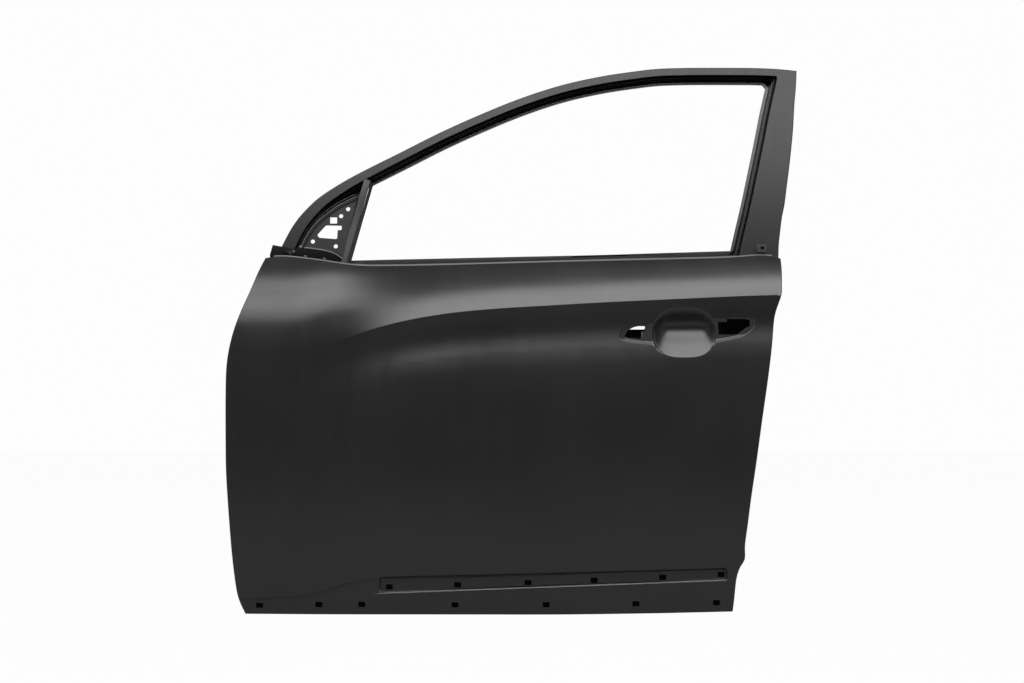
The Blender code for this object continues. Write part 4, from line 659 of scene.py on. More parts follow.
# %% Outline and holes of the skin
FRONT_EDGE = panel_line(
    (0.0705, 0.999), (0.0568, 0.958), (0.0421, 0.902), (0.027, 0.846), (0.0145, 0.791),
    (0.0057, 0.735), (0.0012, 0.68), (0.0, 0.6), (0.0, 0.514), (0.0005, 0.417),
    (0.0025, 0.3475), (0.0073, 0.2364), (0.0118, 0.153), (0.018, 0.075), (0.024, 0.036),
    (0.0344, 0.001))
BOTTOM_EDGE = panel_line(
    (0.0344, 0.001), (0.18, 0.0), (0.313, 0.0), (0.45, 0.0), (0.6006, 0.0), (0.7624, 0.003),
    (0.84, 0.0055), (0.9115, 0.008))
REAR_EDGE = panel_line(
    (0.9115, 0.008), (0.914, 0.0413), (0.9178, 0.098), (0.9236, 0.129), (0.9325, 0.155),
    (0.9329, 0.195), (0.9376, 0.25), (0.9432, 0.32), (0.9535, 0.431), (0.9633, 0.5415),
    (0.9736, 0.652), (0.9818, 0.749), (0.9858, 0.81), (0.9893, 0.841), (0.9993, 0.8885),
    (1.0013, 0.916), (1.0019, 0.958), (0.9997, 0.999))
BELT_EDGE = panel_line(
    (0.9997, 0.999), (0.9636, 1.004), (0.9087, 0.998), (0.8535, 0.995), (0.6731, 0.9885),
    (0.4927, 0.981), (0.3665, 0.976), (0.2584, 0.974), (0.215, 0.979), (0.168, 0.99),
    (0.1048, 1.001), (0.0705, 0.999))
LOW_RUN = (smooth_path(FRONT_EDGE, 0.007)[:-1] + smooth_path(BOTTOM_EDGE, 0.012)[:-1]
           + smooth_path(REAR_EDGE, 0.007))
BELT_RUN = smooth_path(BELT_EDGE, 0.009)[1:-1]
SKIN_LOOP = LOW_RUN + BELT_RUN
CLIP_PLACES = panel_line(
    (0.06, 0.0245), (0.1671, 0.0275), (0.2441, 0.028), (0.4118, 0.027), (0.5758, 0.0275),
    (0.7371, 0.03), (0.882, 0.033), (0.2936, 0.0767), (0.4167, 0.0826), (0.5429, 0.089),
    (0.6621, 0.0954), (0.7853, 0.1035), (0.8905, 0.1113))
CLIP_HALF, CLIP_ROUND = (0.007, 0.0052), 0.0014
CLIP_HOLES = [rounded([(x + CLIP_HALF[0] * i, z + CLIP_HALF[1] * k)
                       for i, k in ((1, -1), (1, 1), (-1, 1), (-1, -1))], CLIP_ROUND)
              for x, z in CLIP_PLACES]
print("outline points:", len(SKIN_LOOP), "clip holes:", len(CLIP_HOLES))

# %% Fill of the skin
EDGE_ROLL, BELT_ROLL = 0.0016, 0.003


def squared_oval(middle, half_width, half_height, sides=56):
    angles = np.arange(sides) * math.tau / sides
    across, up = np.cos(angles), np.sin(angles)
    size = cup_reach(across, up)
    return [(middle[0] + half_width * a, middle[1] + half_height * u)
            for a, u in zip(across / size, up / size)]


def inner_rows(loop):
    """Fold lines of the skin: crease, band, channel, cup and pockets."""
    def keep(path):
        inside = within(path, loop) & (gap_to(path, loop) > 0.004)
        return [p for p, ok in zip(path, inside) if ok]
    folds = []
    crease = smooth_path(CREASE_LINE[1:-1], 0.009)
    for drop in (0.0, 0.0012, 0.003, 0.007, -0.0012, -0.003, -0.007):
        folds.append((keep([(x, z - drop) for x, z in crease]), False))
    band = smooth_path(BAND_LINE, 0.009)
    for drop in (-0.003, -0.0018, -0.0006, 0.0006, 0.0018, 0.003):
        folds.append((keep([(x, z - drop) for x, z in band]), False))
    for gap in (-0.0006, 0.0006, 0.0015, 0.0025, 0.0034, 0.0044):
        folds.append((move_aside(RECESS, gap, True), True))
    for gap in (-0.0016, -0.0007, 0.0, 0.0007, 0.0014, 0.0021, 0.0028, 0.0045, 0.0053, 0.0061,
                0.0068):
        row = np.array(move_aside(STEP_LOOP, gap, True))
        clear = cup_reach(*((row - CUP) / CUP_HALF).T) ** CUP_SQUARE > 1.12
        for half in (row[:, 0] < CUP[0], row[:, 0] > CUP[0]):
            folds.append(([tuple(p) for p in row[half & clear]], False))
    for share in (1.03, 1.01, 0.985, 0.96, 0.92, 0.87, 0.8):
        folds.append((squared_oval(CUP, CUP_HALF[0] * share, CUP_HALF[1] * share), True))
    return folds


loop = move_aside(LOW_RUN, EDGE_ROLL)[1:-1] + move_aside(BELT_RUN, BELT_ROLL)[1:-1]
folds = inner_rows(loop) + [(move_aside(loop, 0.004, True), True)]
cup_floor = squared_oval(CUP, CUP_HALF[0] * 0.79, CUP_HALF[1] * 0.79)
pressed_sheet("door_skin", loop, CLIP_HOLES + [FRONT_OPENING, REAR_OPENING], folds,
              [(loop, 0.0095), (cup_floor, 0.0028)], skin_depth, THIN_SHEET, SKIN_FINISH,
              "outer_panel")

# %% [markdown]
# ## Folded edges
# The front, bottom and rear edges of the skin are hemmed: the sheet is folded right back over
# the inner panel's flange. The belt edge is rolled inboard and turned down instead. Both are
# the same kind of form, a small profile carried along an edge, so one sweep makes them. A
# curve with a bevel could sweep a profile too, but this sweep keeps it on the skin's depth.

# %% Swept edges
SWEEP_CREASE = math.radians(35)


def sweep(name, path, profile, depth, material, *nodes, lean=False):
    """Closed profile of (inset from the path, depth behind the surface) along the path."""
    rows = []
    for inset, drop in profile:
        row = np.array(move_aside(path, inset))
        rows.append(placed(depth, row, drop * steepness(depth, *row.T) if lean else drop))
    verts = np.stack(rows, 1).reshape(-1, 3)
    sides, count = len(profile), len(path)
    faces = [(i * sides + k, i * sides + (k + 1) % sides,
              (i + 1) * sides + (k + 1) % sides, (i + 1) * sides + k)
             for i in range(count - 1) for k in range(sides)]
    faces += [tuple(range(sides))[::-1], tuple((count - 1) * sides + k for k in range(sides))]
    item = make_piece(name, verts, faces, material)
    turned = bmesh.new()
    turned.from_mesh(item.data)
    bmesh.ops.recalc_face_normals(turned, faces=turned.faces)
    turned.to_mesh(item.data)
    turned.free()
    item.data.shade_smooth()
    item.data.set_sharp_from_angle(angle=SWEEP_CREASE)
    settle(item, *nodes)


def edge_depth(x, z):
    return plain_depth(x, z) + band_depth(x, z)


HEM_PROFILE = in_mm(
    (1.6, 0), (0.7, 0.3), (0.1, 1), (0, 1.8), (0.2, 2.7), (0.9, 3.3), (1.8, 3.5), (9.5, 3.5),
    (9.5, 2.7), (1.8, 2.7), (1, 2.4), (0.8, 1.8), (1, 1.2), (1.6, 0.8))
BELT_PROFILE = in_mm(
    (3, 0), (1.4, 0.4), (0.4, 1.3), (0, 2.6), (0, 4.2), (0.5, 5.3), (1.5, 6.2), (3, 6.6),
    (16, 6.6), (16, 5.8), (3.2, 5.8), (1.8, 5.2), (0.9, 4), (0.9, 2.8), (1.8, 1.4), (3, 0.8))
sweep("hem_fold", LOW_RUN[1:-1], HEM_PROFILE, edge_depth, SKIN_FINISH, lean=True)
sweep("belt_roll", BELT_RUN[1:-1], BELT_PROFILE, edge_depth, SKIN_FINISH)

# %% [markdown]
# ## The window frame
# The frame above the belt leans in on a circle. Its outer face is one pressing that runs from
# the foot of the windscreen pillar over the roof run and down into the wide rear sash panel,
# so there is no seam at the rear top corner. Along its window side it steps down into the
# channel that holds the glass run. It is a pressing like the skin, so the same helper makes
# it, with the depth read from the distance to the inner edge of the face.

# %% Form of the window frame
LEAN, ROOF_RADIUS, FRAME_SETBACK = 0.21 / math.hypot(1, 0.21), 1.5, 0.0605
HEADER_WIDTH, FOOT_GROWTH, CHANNEL_WIDTH = 0.016, 0.01, 0.0085
FOOT_SHARE = 0.6
CHANNEL_DROP, CHANNEL_WALL = 0.015, 0.0018
RIDGE_RISE, RIDGE_PLACE, RIDGE_HALF = 0.0085, 0.005, 0.0012
RING_DEPTH, RING_LIP = 0.03, 0.007


def frame_depth(x, z):
    reach = LEAN + (z - BELT_Z) / ROOF_RADIUS
    return (bow(x) + FRAME_SETBACK
            + ROOF_RADIUS * (math.sqrt(1 - LEAN * LEAN) - np.sqrt(1 - reach * reach)))

# %% Lines of the window frame
HEADER_LINE = frame_line(
    (1.0418, 1.015), (1.0096, 1.025), (0.9728, 1.0305), (0.9358, 1.032), (0.8619, 1.032),
    (0.8249, 1.0305), (0.7879, 1.0265), (0.7508, 1.015), (0.6768, 0.981), (0.6028, 0.93),
    (0.5291, 0.857), (0.4557, 0.767), (0.3827, 0.6675), (0.31, 0.557), (0.2377, 0.448),
    (0.2017, 0.388), (0.1658, 0.318), (0.1445, 0.261), (0.1303, 0.215), (0.1232, 0.188),
    (0.1126, 0.14), (0.1021, 0.081), (0.0955, 0.04), (0.0935, 0.029))
PILLAR_LINE = frame_line(
    (0.9963, -0.055), (0.9966, -0.03), (0.9971, 0.0), (0.9982, 0.06), (1.001, 0.124),
    (1.0053, 0.21), (1.01, 0.269), (1.0159, 0.383), (1.0205, 0.47), (1.0253, 0.568),
    (1.0305, 0.69), (1.0347, 0.823), (1.0387, 0.913), (1.041, 0.985))
SASH_LINE = frame_line(
    (0.9235, -0.03), (0.926, 0.0), (0.9372, 0.136), (0.9488, 0.271), (0.9616, 0.434),
    (0.9746, 0.598), (0.9873, 0.765), (1.0002, 0.916), (1.0045, 0.968))
HEADER = smooth_path(HEADER_LINE, 0.007)
PILLAR = smooth_path(PILLAR_LINE, 0.012)
SASH = smooth_path(SASH_LINE, 0.012)


def header_width(path):
    """Width of the face: even along the roof, wider toward the foot of the pillar."""
    z = np.array(path)[:, 1:]
    return HEADER_WIDTH + FOOT_GROWTH * ease(1 - (z - BELT_Z) / (FRAME_HEIGHT * FOOT_SHARE))


def aside_by(path, amounts):
    """Path moved to its left by an amount of its own at each point."""
    here, there = np.array(path), np.array(move_aside(path, 0.001))
    return [tuple(p) for p in here + (there - here) * amounts / 0.001]


def by_height(path):
    """Table that gives a steep path's place along the door for a height."""
    return [(z, x) for x, z in path]


inner = aside_by(HEADER, header_width(HEADER))
sash_x = read_table(by_height(SASH_LINE), [p[1] for p in inner])
inner = [p for p, x in zip(inner, sash_x) if p[0] < x - 0.003]
top_z = inner[0][1]
corner = (float(read_table(by_height(SASH_LINE), top_z)), top_z)
FACE_EDGE = [p for p in SASH if p[1] < top_z - 0.006] + [corner] + inner
CHANNEL_EDGE = move_aside(FACE_EDGE, CHANNEL_WIDTH)
FACE_LOOP = PILLAR[:-1] + HEADER + FACE_EDGE[::-1]

# %% Depth of the frame's face and channel
def shell_depth(x, z):
    """Face of the frame, then the wall, a fine ridge and the floor of its channel."""
    points = np.stack([x, z], 1)
    off = ~within(points, FACE_LOOP)
    drop = np.zeros(len(x))
    if off.any():
        gap = gap_to(points[off], FACE_EDGE, False)
        ridge = RIDGE_RISE * ease(1 - np.abs(gap - RIDGE_PLACE) / RIDGE_HALF)
        drop[off] = CHANNEL_DROP * ease(gap / CHANNEL_WALL) - ridge
    return frame_depth(x, z) + drop


print("frame face:", len(FACE_LOOP), "outline points")

# %% Frame face and its outer edge
SHELL_ROLL = 0.0018
folds = [(move_aside(FACE_EDGE, gap), False) for gap in
         (-0.0008, 0.0, 0.0005, 0.001, 0.0014, 0.0018, 0.0034, 0.0039, 0.0044, 0.005,
          0.0056, 0.0061, 0.0066)]
edge = move_aside(PILLAR[:-1] + HEADER, SHELL_ROLL)[1:-1]
shell = edge + CHANNEL_EDGE[::-1]
pressed_sheet("window_frame_face", shell, [], folds, [(shell, 0.012)], shell_depth,
              BRACE_SHEET, FRAME_FINISH, "header_frame", "rear_sash_panel")

SKIRT_PROFILE = [(SHELL_ROLL, 0.0), (0.0009, 0.0003), (0.0003, 0.0009), (0.0, 0.0018),
                 (0.0006, 0.008), (0.0048, 0.0285), (0.0056, 0.0293), (0.015, 0.0293),
                 (0.015, 0.0285), (0.0062, 0.0283), (0.0057, 0.0278), (0.0016, 0.0078),
                 (0.0011, 0.002), (0.0012, 0.0013), (SHELL_ROLL, 0.0008)]
sweep("frame_skirt", (PILLAR[:-1] + HEADER)[1:-1], SKIRT_PROFILE, frame_depth, FRAME_FINISH)

# %% [markdown]
# Behind the face lies the ring of the inner panel, with a lip round the window. A smooth bead
# caps that lip, rolled toward the glass, and rubber-black runs line the channel beside it.
# They follow the same lines at other distances, so the sweep from the hems makes them too.

# %% Window bead and glass runs
BAR_LINE = smooth_path(frame_line((0.2418, 0.38), (0.2044, -0.0241), (0.1905, -0.174)),
                       0.01)
HEADER_REACH, SASH_REACH = 0.0352, 0.017
bar_top = BAR_LINE[0]
roof = [p for p in move_aside(HEADER, HEADER_REACH) if p[0] > bar_top[0] + 0.004]
side = [(x - SASH_REACH - 0.0016, z) for x, z in SASH if z > BELT_Z + 0.006]
roof = [p for p in roof if p[0] < float(read_table(by_height(side), p[1])) - 0.004]
rise = [p for p in side if p[1] < roof[0][1] - 0.004]
WINDOW_LINE = rise + roof
BEAD_PROFILE = in_mm(
    (0.3, 26.6), (-0.4, 25), (-1.6, 23.2), (-3, 22.1), (-4.4, 21.8), (-7, 22.4), (-7.9, 23),
    (-8.3, 24.2), (-8.3, 26.6), (-7.4, 26.6), (-7.4, 24.6), (-7, 23.5), (-4.4, 22.7),
    (-3.2, 23), (-2, 24), (-0.8, 25.8), (-0.4, 26.6))
sweep("window_bead", WINDOW_LINE, BEAD_PROFILE, frame_depth, PANEL_FINISH)
RUN_PROFILE = in_mm(
    (0, 17), (6.6, 17), (7, 17.6), (6.6, 18.2), (1.6, 18.2), (1.2, 19), (1.2, 28), (1.6, 28.4),
    (6.6, 28.4), (7, 28.9), (6.6, 29.5), (0, 29.5))
wide = aside_by(HEADER, header_width(HEADER) + 0.0023)
run = [p for p in wide if bar_top[0] + 0.0275 < p[0] < corner[0] - 0.004]
sweep("roof_glass_run", run, RUN_PROFILE, frame_depth, RUBBER_FINISH, "roof_glass_channel")
run = [(x - 0.0013, z) for x, z in SASH if BELT_Z + 0.002 < z < roof[0][1]]
sweep("rear_glass_run", run, RUN_PROFILE, frame_depth, RUBBER_FINISH, "rear_glass_channel")

# %% [markdown]
# ## The division bar
# A folded bar closes the window at its front and runs on down into the pan. Its top end laps
# over the frame's face.

# %% Division bar and its glass run
BAR_PROFILE = in_mm(
    (0, 22.5), (0, 11.2), (0.4, 9.8), (1.6, 9), (11.9, 9), (13.1, 9.8), (13.5, 11.2),
    (13.5, 22.5), (12.5, 22.5), (12.5, 11.4), (11.8, 10.1), (1.7, 10.1), (1, 11.4), (1, 22.5))
LAP_RISE, LAP_RUN = 0.0106, 0.085


def bar_face(x, z):
    """Frame depth, raised where the top of the bar laps over the face."""
    return frame_depth(x, z) - LAP_RISE * ease((z - bar_top[1] + LAP_RUN) / LAP_RUN)


top_dir = np.array(BAR_LINE[0]) - np.array(BAR_LINE[2])
top_dir /= np.linalg.norm(top_dir)
lap = [tuple(np.array(bar_top) + top_dir * d) for d in (0.013, 0.009, 0.0045, 0.0015)]
bar_path = lap + smooth_path(BAR_LINE[:12], 0.004) + BAR_LINE[12:]
sweep("division_bar_fine", bar_path, BAR_PROFILE, bar_face, BAR_FINISH, "division_bar")
STRIP_PROFILE = in_mm(
    (14, 23), (14, 12.5), (14.4, 11.7), (18, 11.7), (18.4, 12.4), (18, 13.1), (15.3, 13.1),
    (15, 13.6), (15, 22), (20, 22), (20, 23))
sweep("division_run", lap[1:] + BAR_LINE, STRIP_PROFILE, frame_depth, RUBBER_FINISH,
      "division_glass_channel")

# %% [markdown]
# ## The mirror corner
# In front of the division bar a small plate carries the mirror. It sits a little behind the
# face, has a round bead along its curved edge and six holes, and an upright flange follows it
# outside the bead. Below it, a gusset closes the corner down to the belt.

# %% Mirror plate, its flange and the gusset
MIRROR_EDGE = smooth_path(frame_line(
    (0.1325, 0.05), (0.146, 0.1233), (0.158, 0.172), (0.1705, 0.206), (0.1835, 0.236),
    (0.1975, 0.265), (0.211, 0.287), (0.233, 0.318)), 0.004)
MIRROR_FOOT = smooth_path(frame_line(
    (0.21, -0.02), (0.196, 0.016), (0.1698, 0.034), (0.134, 0.045)), 0.005)
MIRROR_HOLES = [oval(on_frame(*p), 0.009, 0.009, 20) for p in (
    (0.2159, 0.25), (0.2034, 0.2123), (0.1527, 0.0755), (0.1945, 0.0497))]
MIRROR_HOLES += [rounded(frame_line(*loop), radius) for loop, radius in (
    (((0.1836, 0.172), (0.1963, 0.172), (0.1963, 0.206), (0.1836, 0.206)), 0.0008),
    (((0.1641, 0.0954), (0.1968, 0.088), (0.1975, 0.137), (0.205, 0.1365),
      (0.205, 0.1625), (0.1764, 0.1625), (0.1603, 0.11)), 0.0035))]
MIRROR_BACK, MIRROR_BEAD = 0.0085, 0.003


def mirror_depth(x, z):
    gap = gap_to(np.stack([x, z], 1), MIRROR_EDGE, False)
    bead = MIRROR_BEAD * ease(1 - np.abs(gap - MIRROR_BEAD) / MIRROR_BEAD)
    return frame_depth(x, z) + MIRROR_BACK - bead


loop = MIRROR_FOOT[1:] + MIRROR_EDGE
folds = [(move_aside(MIRROR_EDGE, -gap)[2:-2], False)
         for gap in (0.0007, 0.0015, 0.0024, 0.003, 0.0036, 0.0045, 0.0053, 0.006)]
pressed_sheet("mirror_corner_plate", loop, MIRROR_HOLES, folds, [(loop, 0.004)],
              mirror_depth, BRACE_SHEET, BRACE_FINISH, "mirror_plate")

# %% Flange, bead and seat of the mirror plate
UPRIGHT = in_mm(
    (0, 9.5), (0.6, 8.8), (1.4, 8.8), (2, 9.5), (2, 29), (1, 29), (1, 10.8), (0, 10.8))
sweep("mirror_flange", move_aside(MIRROR_EDGE, 0.0052)[1:-1], UPRIGHT, frame_depth,
      BAR_FINISH)
RIDGE = in_mm((0.3, 1.6), (-0.2, 0.2), (0.4, -0.9), (1.3, -0.9), (1.9, 0.2), (1.4, 1.6))
# The bead takes the light grey finish: a painted highlight along the plate's curved edge.
sweep("mirror_plate_bead", MIRROR_EDGE[1:-1], RIDGE, mirror_depth, EDGE_HIGHLIGHT_FINISH)
SEAT_RIM = in_mm((0, 8), (1, 8), (1, 29), (6, 29), (6, 29.8), (0, 29.8))
sweep("mirror_seat", move_aside(MIRROR_EDGE, -0.0006), SEAT_RIM, frame_depth, BRACE_FINISH)

# %% Gusset under the mirror plate
GUSSET_TOP = smooth_path([(0.0541, 0.202), (0.0774, 0.1978), (0.0955, 0.1938),
                          (0.118, 0.1965), (0.156, 0.1915), (0.179, 0.185),
                          (0.199, 0.1715)], 0.006)
GUSSET_BACK, GUSSET_LEAN = 0.06, 0.3
GUSSET = GUSSET_TOP[::-1] + [(0.048, 0.183), (0.048, 0.174), (0.199, 0.164)]


def gusset_depth(x, z):
    return bow(x) + GUSSET_BACK + GUSSET_LEAN * (0.2 - z)


pressed_sheet("belt_gusset", GUSSET, [], [], [(GUSSET, 0.006)], gusset_depth, BRACE_SHEET,
              BRACE_FINISH)
LEDGE = in_mm(
    (-1.2, 3), (-1.6, 0.4), (-1, -1.2), (0.2, -1.8), (1.4, -1.4), (1.8, 0.4), (0.8, 2),
    (0, 3.4))
# The ledge takes the light grey finish: a painted highlight along the top of the gusset.
sweep("gusset_ledge", GUSSET_TOP[::-1][1:-11], LEDGE, gusset_depth, EDGE_HIGHLIGHT_FINISH)

# %% [markdown]
# ## The inner panel
# The inner panel is the deepest pressing of the door: a flange that lies inside the hemmed
# skin, a side wall, a floor with the large module opening, and the ring round the window. The
# wall stands square to the floor, which no depth rule can give, so rings of points carry the
# section round the edge and the flat fill takes over at the floor. Beads, pads and a rim round
# every large hole stiffen the floor.

# %% Form of the inner panel
PAN_DEPTH, PAN_CORNER, LOCK_X = 0.122, 0.007, 1.0360296
HINGE_PITCH, BELT_STEP = 0.340062, 0.045
MODULE_DIP, RING_RISE, PAD_RISE, BEAD_RISE, PULL_RISE = 0.006, 0.003, 0.002, 0.0045, 0.0025
MODULE_RIM, PULL_RIM, ACCESS_RIM = 0.016, 0.01, 0.008
PAD_RADIUS, PAD_SLOPE, LIP_REACH, LIP_SLOPE = 0.017, 0.005, 0.0072, 0.0012
SPEAKER_SIZE, TRIM_SIZE, HEM_GAP = 0.17, 0.009, 0.0019
MODULE = smooth_path(panel_line(
    (0.33, 0.3), (0.345, 0.235), (0.42, 0.205), (0.64, 0.205), (0.745, 0.235), (0.775, 0.3),
    (0.79, 0.52), (0.765, 0.64), (0.7, 0.675), (0.48, 0.675), (0.375, 0.64), (0.335, 0.54),
    (0.33, 0.3)), 0.016)[:-1]
SPEAKER = on_panel(0.205, 0.215)
TRIM_HOLES = panel_line(
    (0.075, 0.52), (0.085, 0.1), (0.3, 0.065), (0.55, 0.065), (0.8, 0.085), (0.905, 0.3),
    (0.925, 0.66), (0.1, 0.74))
PULL_HOLE = rounded(panel_line((0.855, 0.5), (0.885, 0.5), (0.89, 0.6), (0.862, 0.6)), 0.005)
HANDLE_ACCESS = rectangle(*on_panel(0.7204, 0.7927), *on_panel(0.7575, 0.8324), 0.004)
MIRROR_ACCESS = rounded(frame_line(
    (0.144, 0.0505), (0.2, 0.03), (0.2055, 0.075), (0.213, 0.15), (0.2225, 0.235),
    (0.2235, 0.272), (0.2215, 0.283), (0.206, 0.266), (0.1855, 0.227), (0.166, 0.178),
    (0.15, 0.118)), 0.003)
SILL = smooth_path(frame_line(
    (0.2182, -0.026), (0.4926, -0.008), (0.6737, 0.004), (0.9114, 0.025)), 0.012)
front = [p for p in move_aside(BAR_LINE, 0.0124)
         if SILL[0][1] + 0.009 < p[1] < roof[-1][1] - 0.009]
WINDOW = SILL + [p for p in rise if p[1] > SILL[-1][1] + 0.006] + roof + front
BEADS = [(panel_line((0.28, 0.4), (0.12, 0.62)), 0.01),
         (panel_line((0.38, 0.115), (0.72, 0.115)), 0.011),
         (panel_line((0.38, 0.155), (0.7, 0.155)), 0.008),
         (panel_line((0.83, 0.16), (0.87, 0.44)), 0.01),
         (panel_line((0.16, 0.8), (0.66, 0.8)), 0.013),
         (panel_line((0.3, 0.735), (0.7, 0.735)), 0.008)]

# %% Depth of the floor and of the flange
def floor_depth(x, z):
    """Inboard face of the pan's floor, of the belt slope and of the window ring."""
    points = np.stack([x, z], 1)
    upper = frame_depth(x, z) + RING_DEPTH + THIN_SHEET
    deep = PAN_DEPTH + THIN_SHEET
    blend = ease((z - BELT_Z + BELT_STEP * 2) / BELT_STEP)
    rim = ease(gap_to(points, MODULE) / MODULE_RIM - 0.375)
    away = np.hypot(x - SPEAKER[0], z - SPEAKER[1])
    ring = ease((away - 0.092) / 0.005) - ease((away - 0.104) / 0.006)
    # The first hole has no pad: a pad there would meet the brace of the check link.
    pads = sum(ease((PAD_RADIUS - np.hypot(x - a, z - c)) / PAD_SLOPE)
               for a, c in TRIM_HOLES[1:])
    beads = sum(ease(1 - gap_to(points, path, False) / width) for path, width in BEADS)
    pull = (ease(1 - gap_to(points, PULL_HOLE) / PULL_RIM)
            - ease(1 - gap_to(points, HANDLE_ACCESS) / ACCESS_RIM))
    form = (-MODULE_DIP * (1 - rim) + RING_RISE * ring - PAD_RISE * pads
            - BEAD_RISE * np.minimum(beads, 1) - PULL_RISE * pull)
    low = deep - (deep - upper) * blend + form * (1 - blend)
    lip = RING_LIP * ease((LIP_REACH - gap_to(points, WINDOW)) / LIP_SLOPE)
    return np.where(z > BELT_Z, upper - lip, low)


def flange_depth(x, z):
    """Inboard face of the flange that lies in the hem."""
    return edge_depth(x, z) + HEM_GAP * steepness(plain_depth, x, z)


def refined(path, parts=4):
    """Straight runs cut into parts."""
    fine = []
    for start, end in zip(path, path[1:]):
        fine += [tuple(np.array(start) + (np.array(end) - np.array(start)) * k / parts)
                 for k in range(parts)]
    return fine + [path[-1]]


print("inner panel:", len(TRIM_HOLES), "trim holes,", len(BEADS), "beads")

# %% Rings of the flange, the wall and its corner
coarse = (smooth_path(FRONT_EDGE, 0.045)[:-1] + smooth_path(BOTTOM_EDGE, 0.045)[:-1]
          + smooth_path(REAR_EDGE, 0.045))
wall = [(max(x, 0.0) if x < 0.5 else min(x, LOCK_X), z)
        for x, z in move_aside(coarse, 0.0145)[1:-1]]
# The flange's rim and foot, then the wall's first ring: each path with its rule and shift.
section = [(refined(move_aside(coarse, 0.0022)[1:-1]), flange_depth, 0.0),
           (refined(move_aside(coarse, 0.0118)[1:-1]), flange_depth, 0.0),
           (refined(wall), flange_depth, 0.005)]
rows = [placed(rule, path, shift) for path, rule, shift in section]
floor_edge = refined(move_aside(wall, PAN_CORNER))
x, z = np.array(floor_edge).T
deep = np.minimum(floor_depth(x, z), PAN_DEPTH + THIN_SHEET)
for angle in np.arange(5) * math.pi / 8:
    path = refined(move_aside(wall, PAN_CORNER * (1 - math.cos(angle))) if angle else wall)
    x, z = np.array(path).T
    rows.append(np.stack([x, deep - PAN_CORNER * (1 - math.sin(angle)) - HINGE_DEPTH, z], 1))
print("rings:", len(rows), "of", len(rows[0]), "points")

# %% Floor of the inner panel
ring_top = [p for p in move_aside(PILLAR, 0.005) if p[1] > BELT_Z + 0.003]
ring_top += [p for p in move_aside(HEADER, 0.005) if p[0] > 0.0085 and p[1] > 0.19][1:]
holes = [WINDOW, MODULE, oval(SPEAKER, SPEAKER_SIZE, SPEAKER_SIZE, 48), PULL_HOLE,
         HANDLE_ACCESS, MIRROR_ACCESS]
holes += [oval(p, TRIM_SIZE, TRIM_SIZE, 16) for p in TRIM_HOLES]
folds = [(move_aside(WINDOW, -gap, True), True) for gap in (0.003, 0.006, 0.0073)]
folds += [(move_aside(MODULE, -gap, True), True) for gap in (0.006, 0.012, 0.018, 0.022)]
folds += [(oval(SPEAKER, d, d, 48), True) for d in (0.184, 0.189, 0.194, 0.208, 0.22)]
folds += [(oval(p, d, d, 16), True) for p in TRIM_HOLES for d in (0.022, 0.028, 0.034)]
folds += [(move_aside(refined(path), side * width), False) for path, width in BEADS
          for side in (-0.95, -0.6, -0.25, 0.25, 0.6, 0.95)]
folds += [(refined([(0.035, BELT_Z - drop), (0.995, BELT_Z - drop)], 60), False)
          for drop in (0.094, 0.088, 0.08, 0.058, 0.05, 0.042)]
outline = floor_edge + ring_top
flat, faces = flat_fill(outline, holes, folds, [(outline, 0.0085)])
verts = np.vstack(rows + [placed(floor_depth, flat)])
count = len(rows[0])
base = count * len(rows)
quads = [(r * count + i, r * count + i + 1, (r + 1) * count + i + 1, (r + 1) * count + i)
         for r in range(len(rows) - 1) for i in range(count - 1)]
shell = quads + [tuple(int(i) + base for i in f) for f in faces]

# %% Sheet of the inner panel
def thickened(name, verts, faces, thickness, material):
    """Welds an open sheet, turns it to face inboard and gives it its thickness."""
    mesh = bpy.data.meshes.new(name + "_sheet")
    work = bmesh.new()
    corners = [work.verts.new(v) for v in verts]
    for face in faces:
        if len(set(face)) == len(face):
            work.faces.new([corners[i] for i in face])
    bmesh.ops.remove_doubles(work, verts=work.verts, dist=0.00002)
    bmesh.ops.recalc_face_normals(work, faces=work.faces)
    if sum(f.normal.y * f.calc_area() for f in work.faces) <= 0:
        bmesh.ops.reverse_faces(work, faces=work.faces)
    work.to_mesh(mesh)
    work.free()
    mesh.materials.append(material)
    item = add_object(name, mesh)
    solid = item.modifiers.new("sheet", "SOLIDIFY")
    solid.thickness = thickness
    solid.offset = -1.0
    return item


def apply_modifiers(item):
    """Leaves the piece a plain mesh with what its modifiers made."""
    bpy.context.view_layer.update()
    seen = item.evaluated_get(bpy.context.evaluated_depsgraph_get())
    mesh = bpy.data.meshes.new_from_object(seen)
    item.modifiers.clear()
    item.data = mesh
    return mesh


PAN = thickened("inner_pressing", verts, shell, THIN_SHEET, PANEL_FINISH)
print("sheet of", len(shell), "faces")

# %% [markdown]
# The hinge wall and the lock face are flat, and their holes are punched across them. Solid
# cutters in one helper object do that in one step, as the press does.

# %% Punch the wall holes
PUNCH_REACH, PAN_CREASE = 0.016, math.radians(32)
BOLT_RISE, BOLT_RADIUS, SCREW_RADIUS = 0.022, 0.0055, 0.004
HARNESS_Z, HARNESS_RADIUS, LOCK_Z = -0.09, 0.018, 0.03
punch = bmesh.new()


def punch_round(x, y, z, radius):
    made = bmesh.ops.create_cone(punch, cap_ends=True, segments=24, radius1=radius,
                                 radius2=radius, depth=PUNCH_REACH)
    turn = Matrix.Translation((x, y, z)) @ Matrix.Rotation(math.pi / 2, 4, "Y")
    bmesh.ops.transform(punch, matrix=turn, verts=made["verts"])


def punch_block(x, y, z, width, height):
    made = bmesh.ops.create_cube(punch, size=1.0)
    size = Matrix.Diagonal((PUNCH_REACH, width, height, 1.0))
    bmesh.ops.transform(punch, matrix=Matrix.Translation((x, y, z)) @ size,
                        verts=made["verts"])


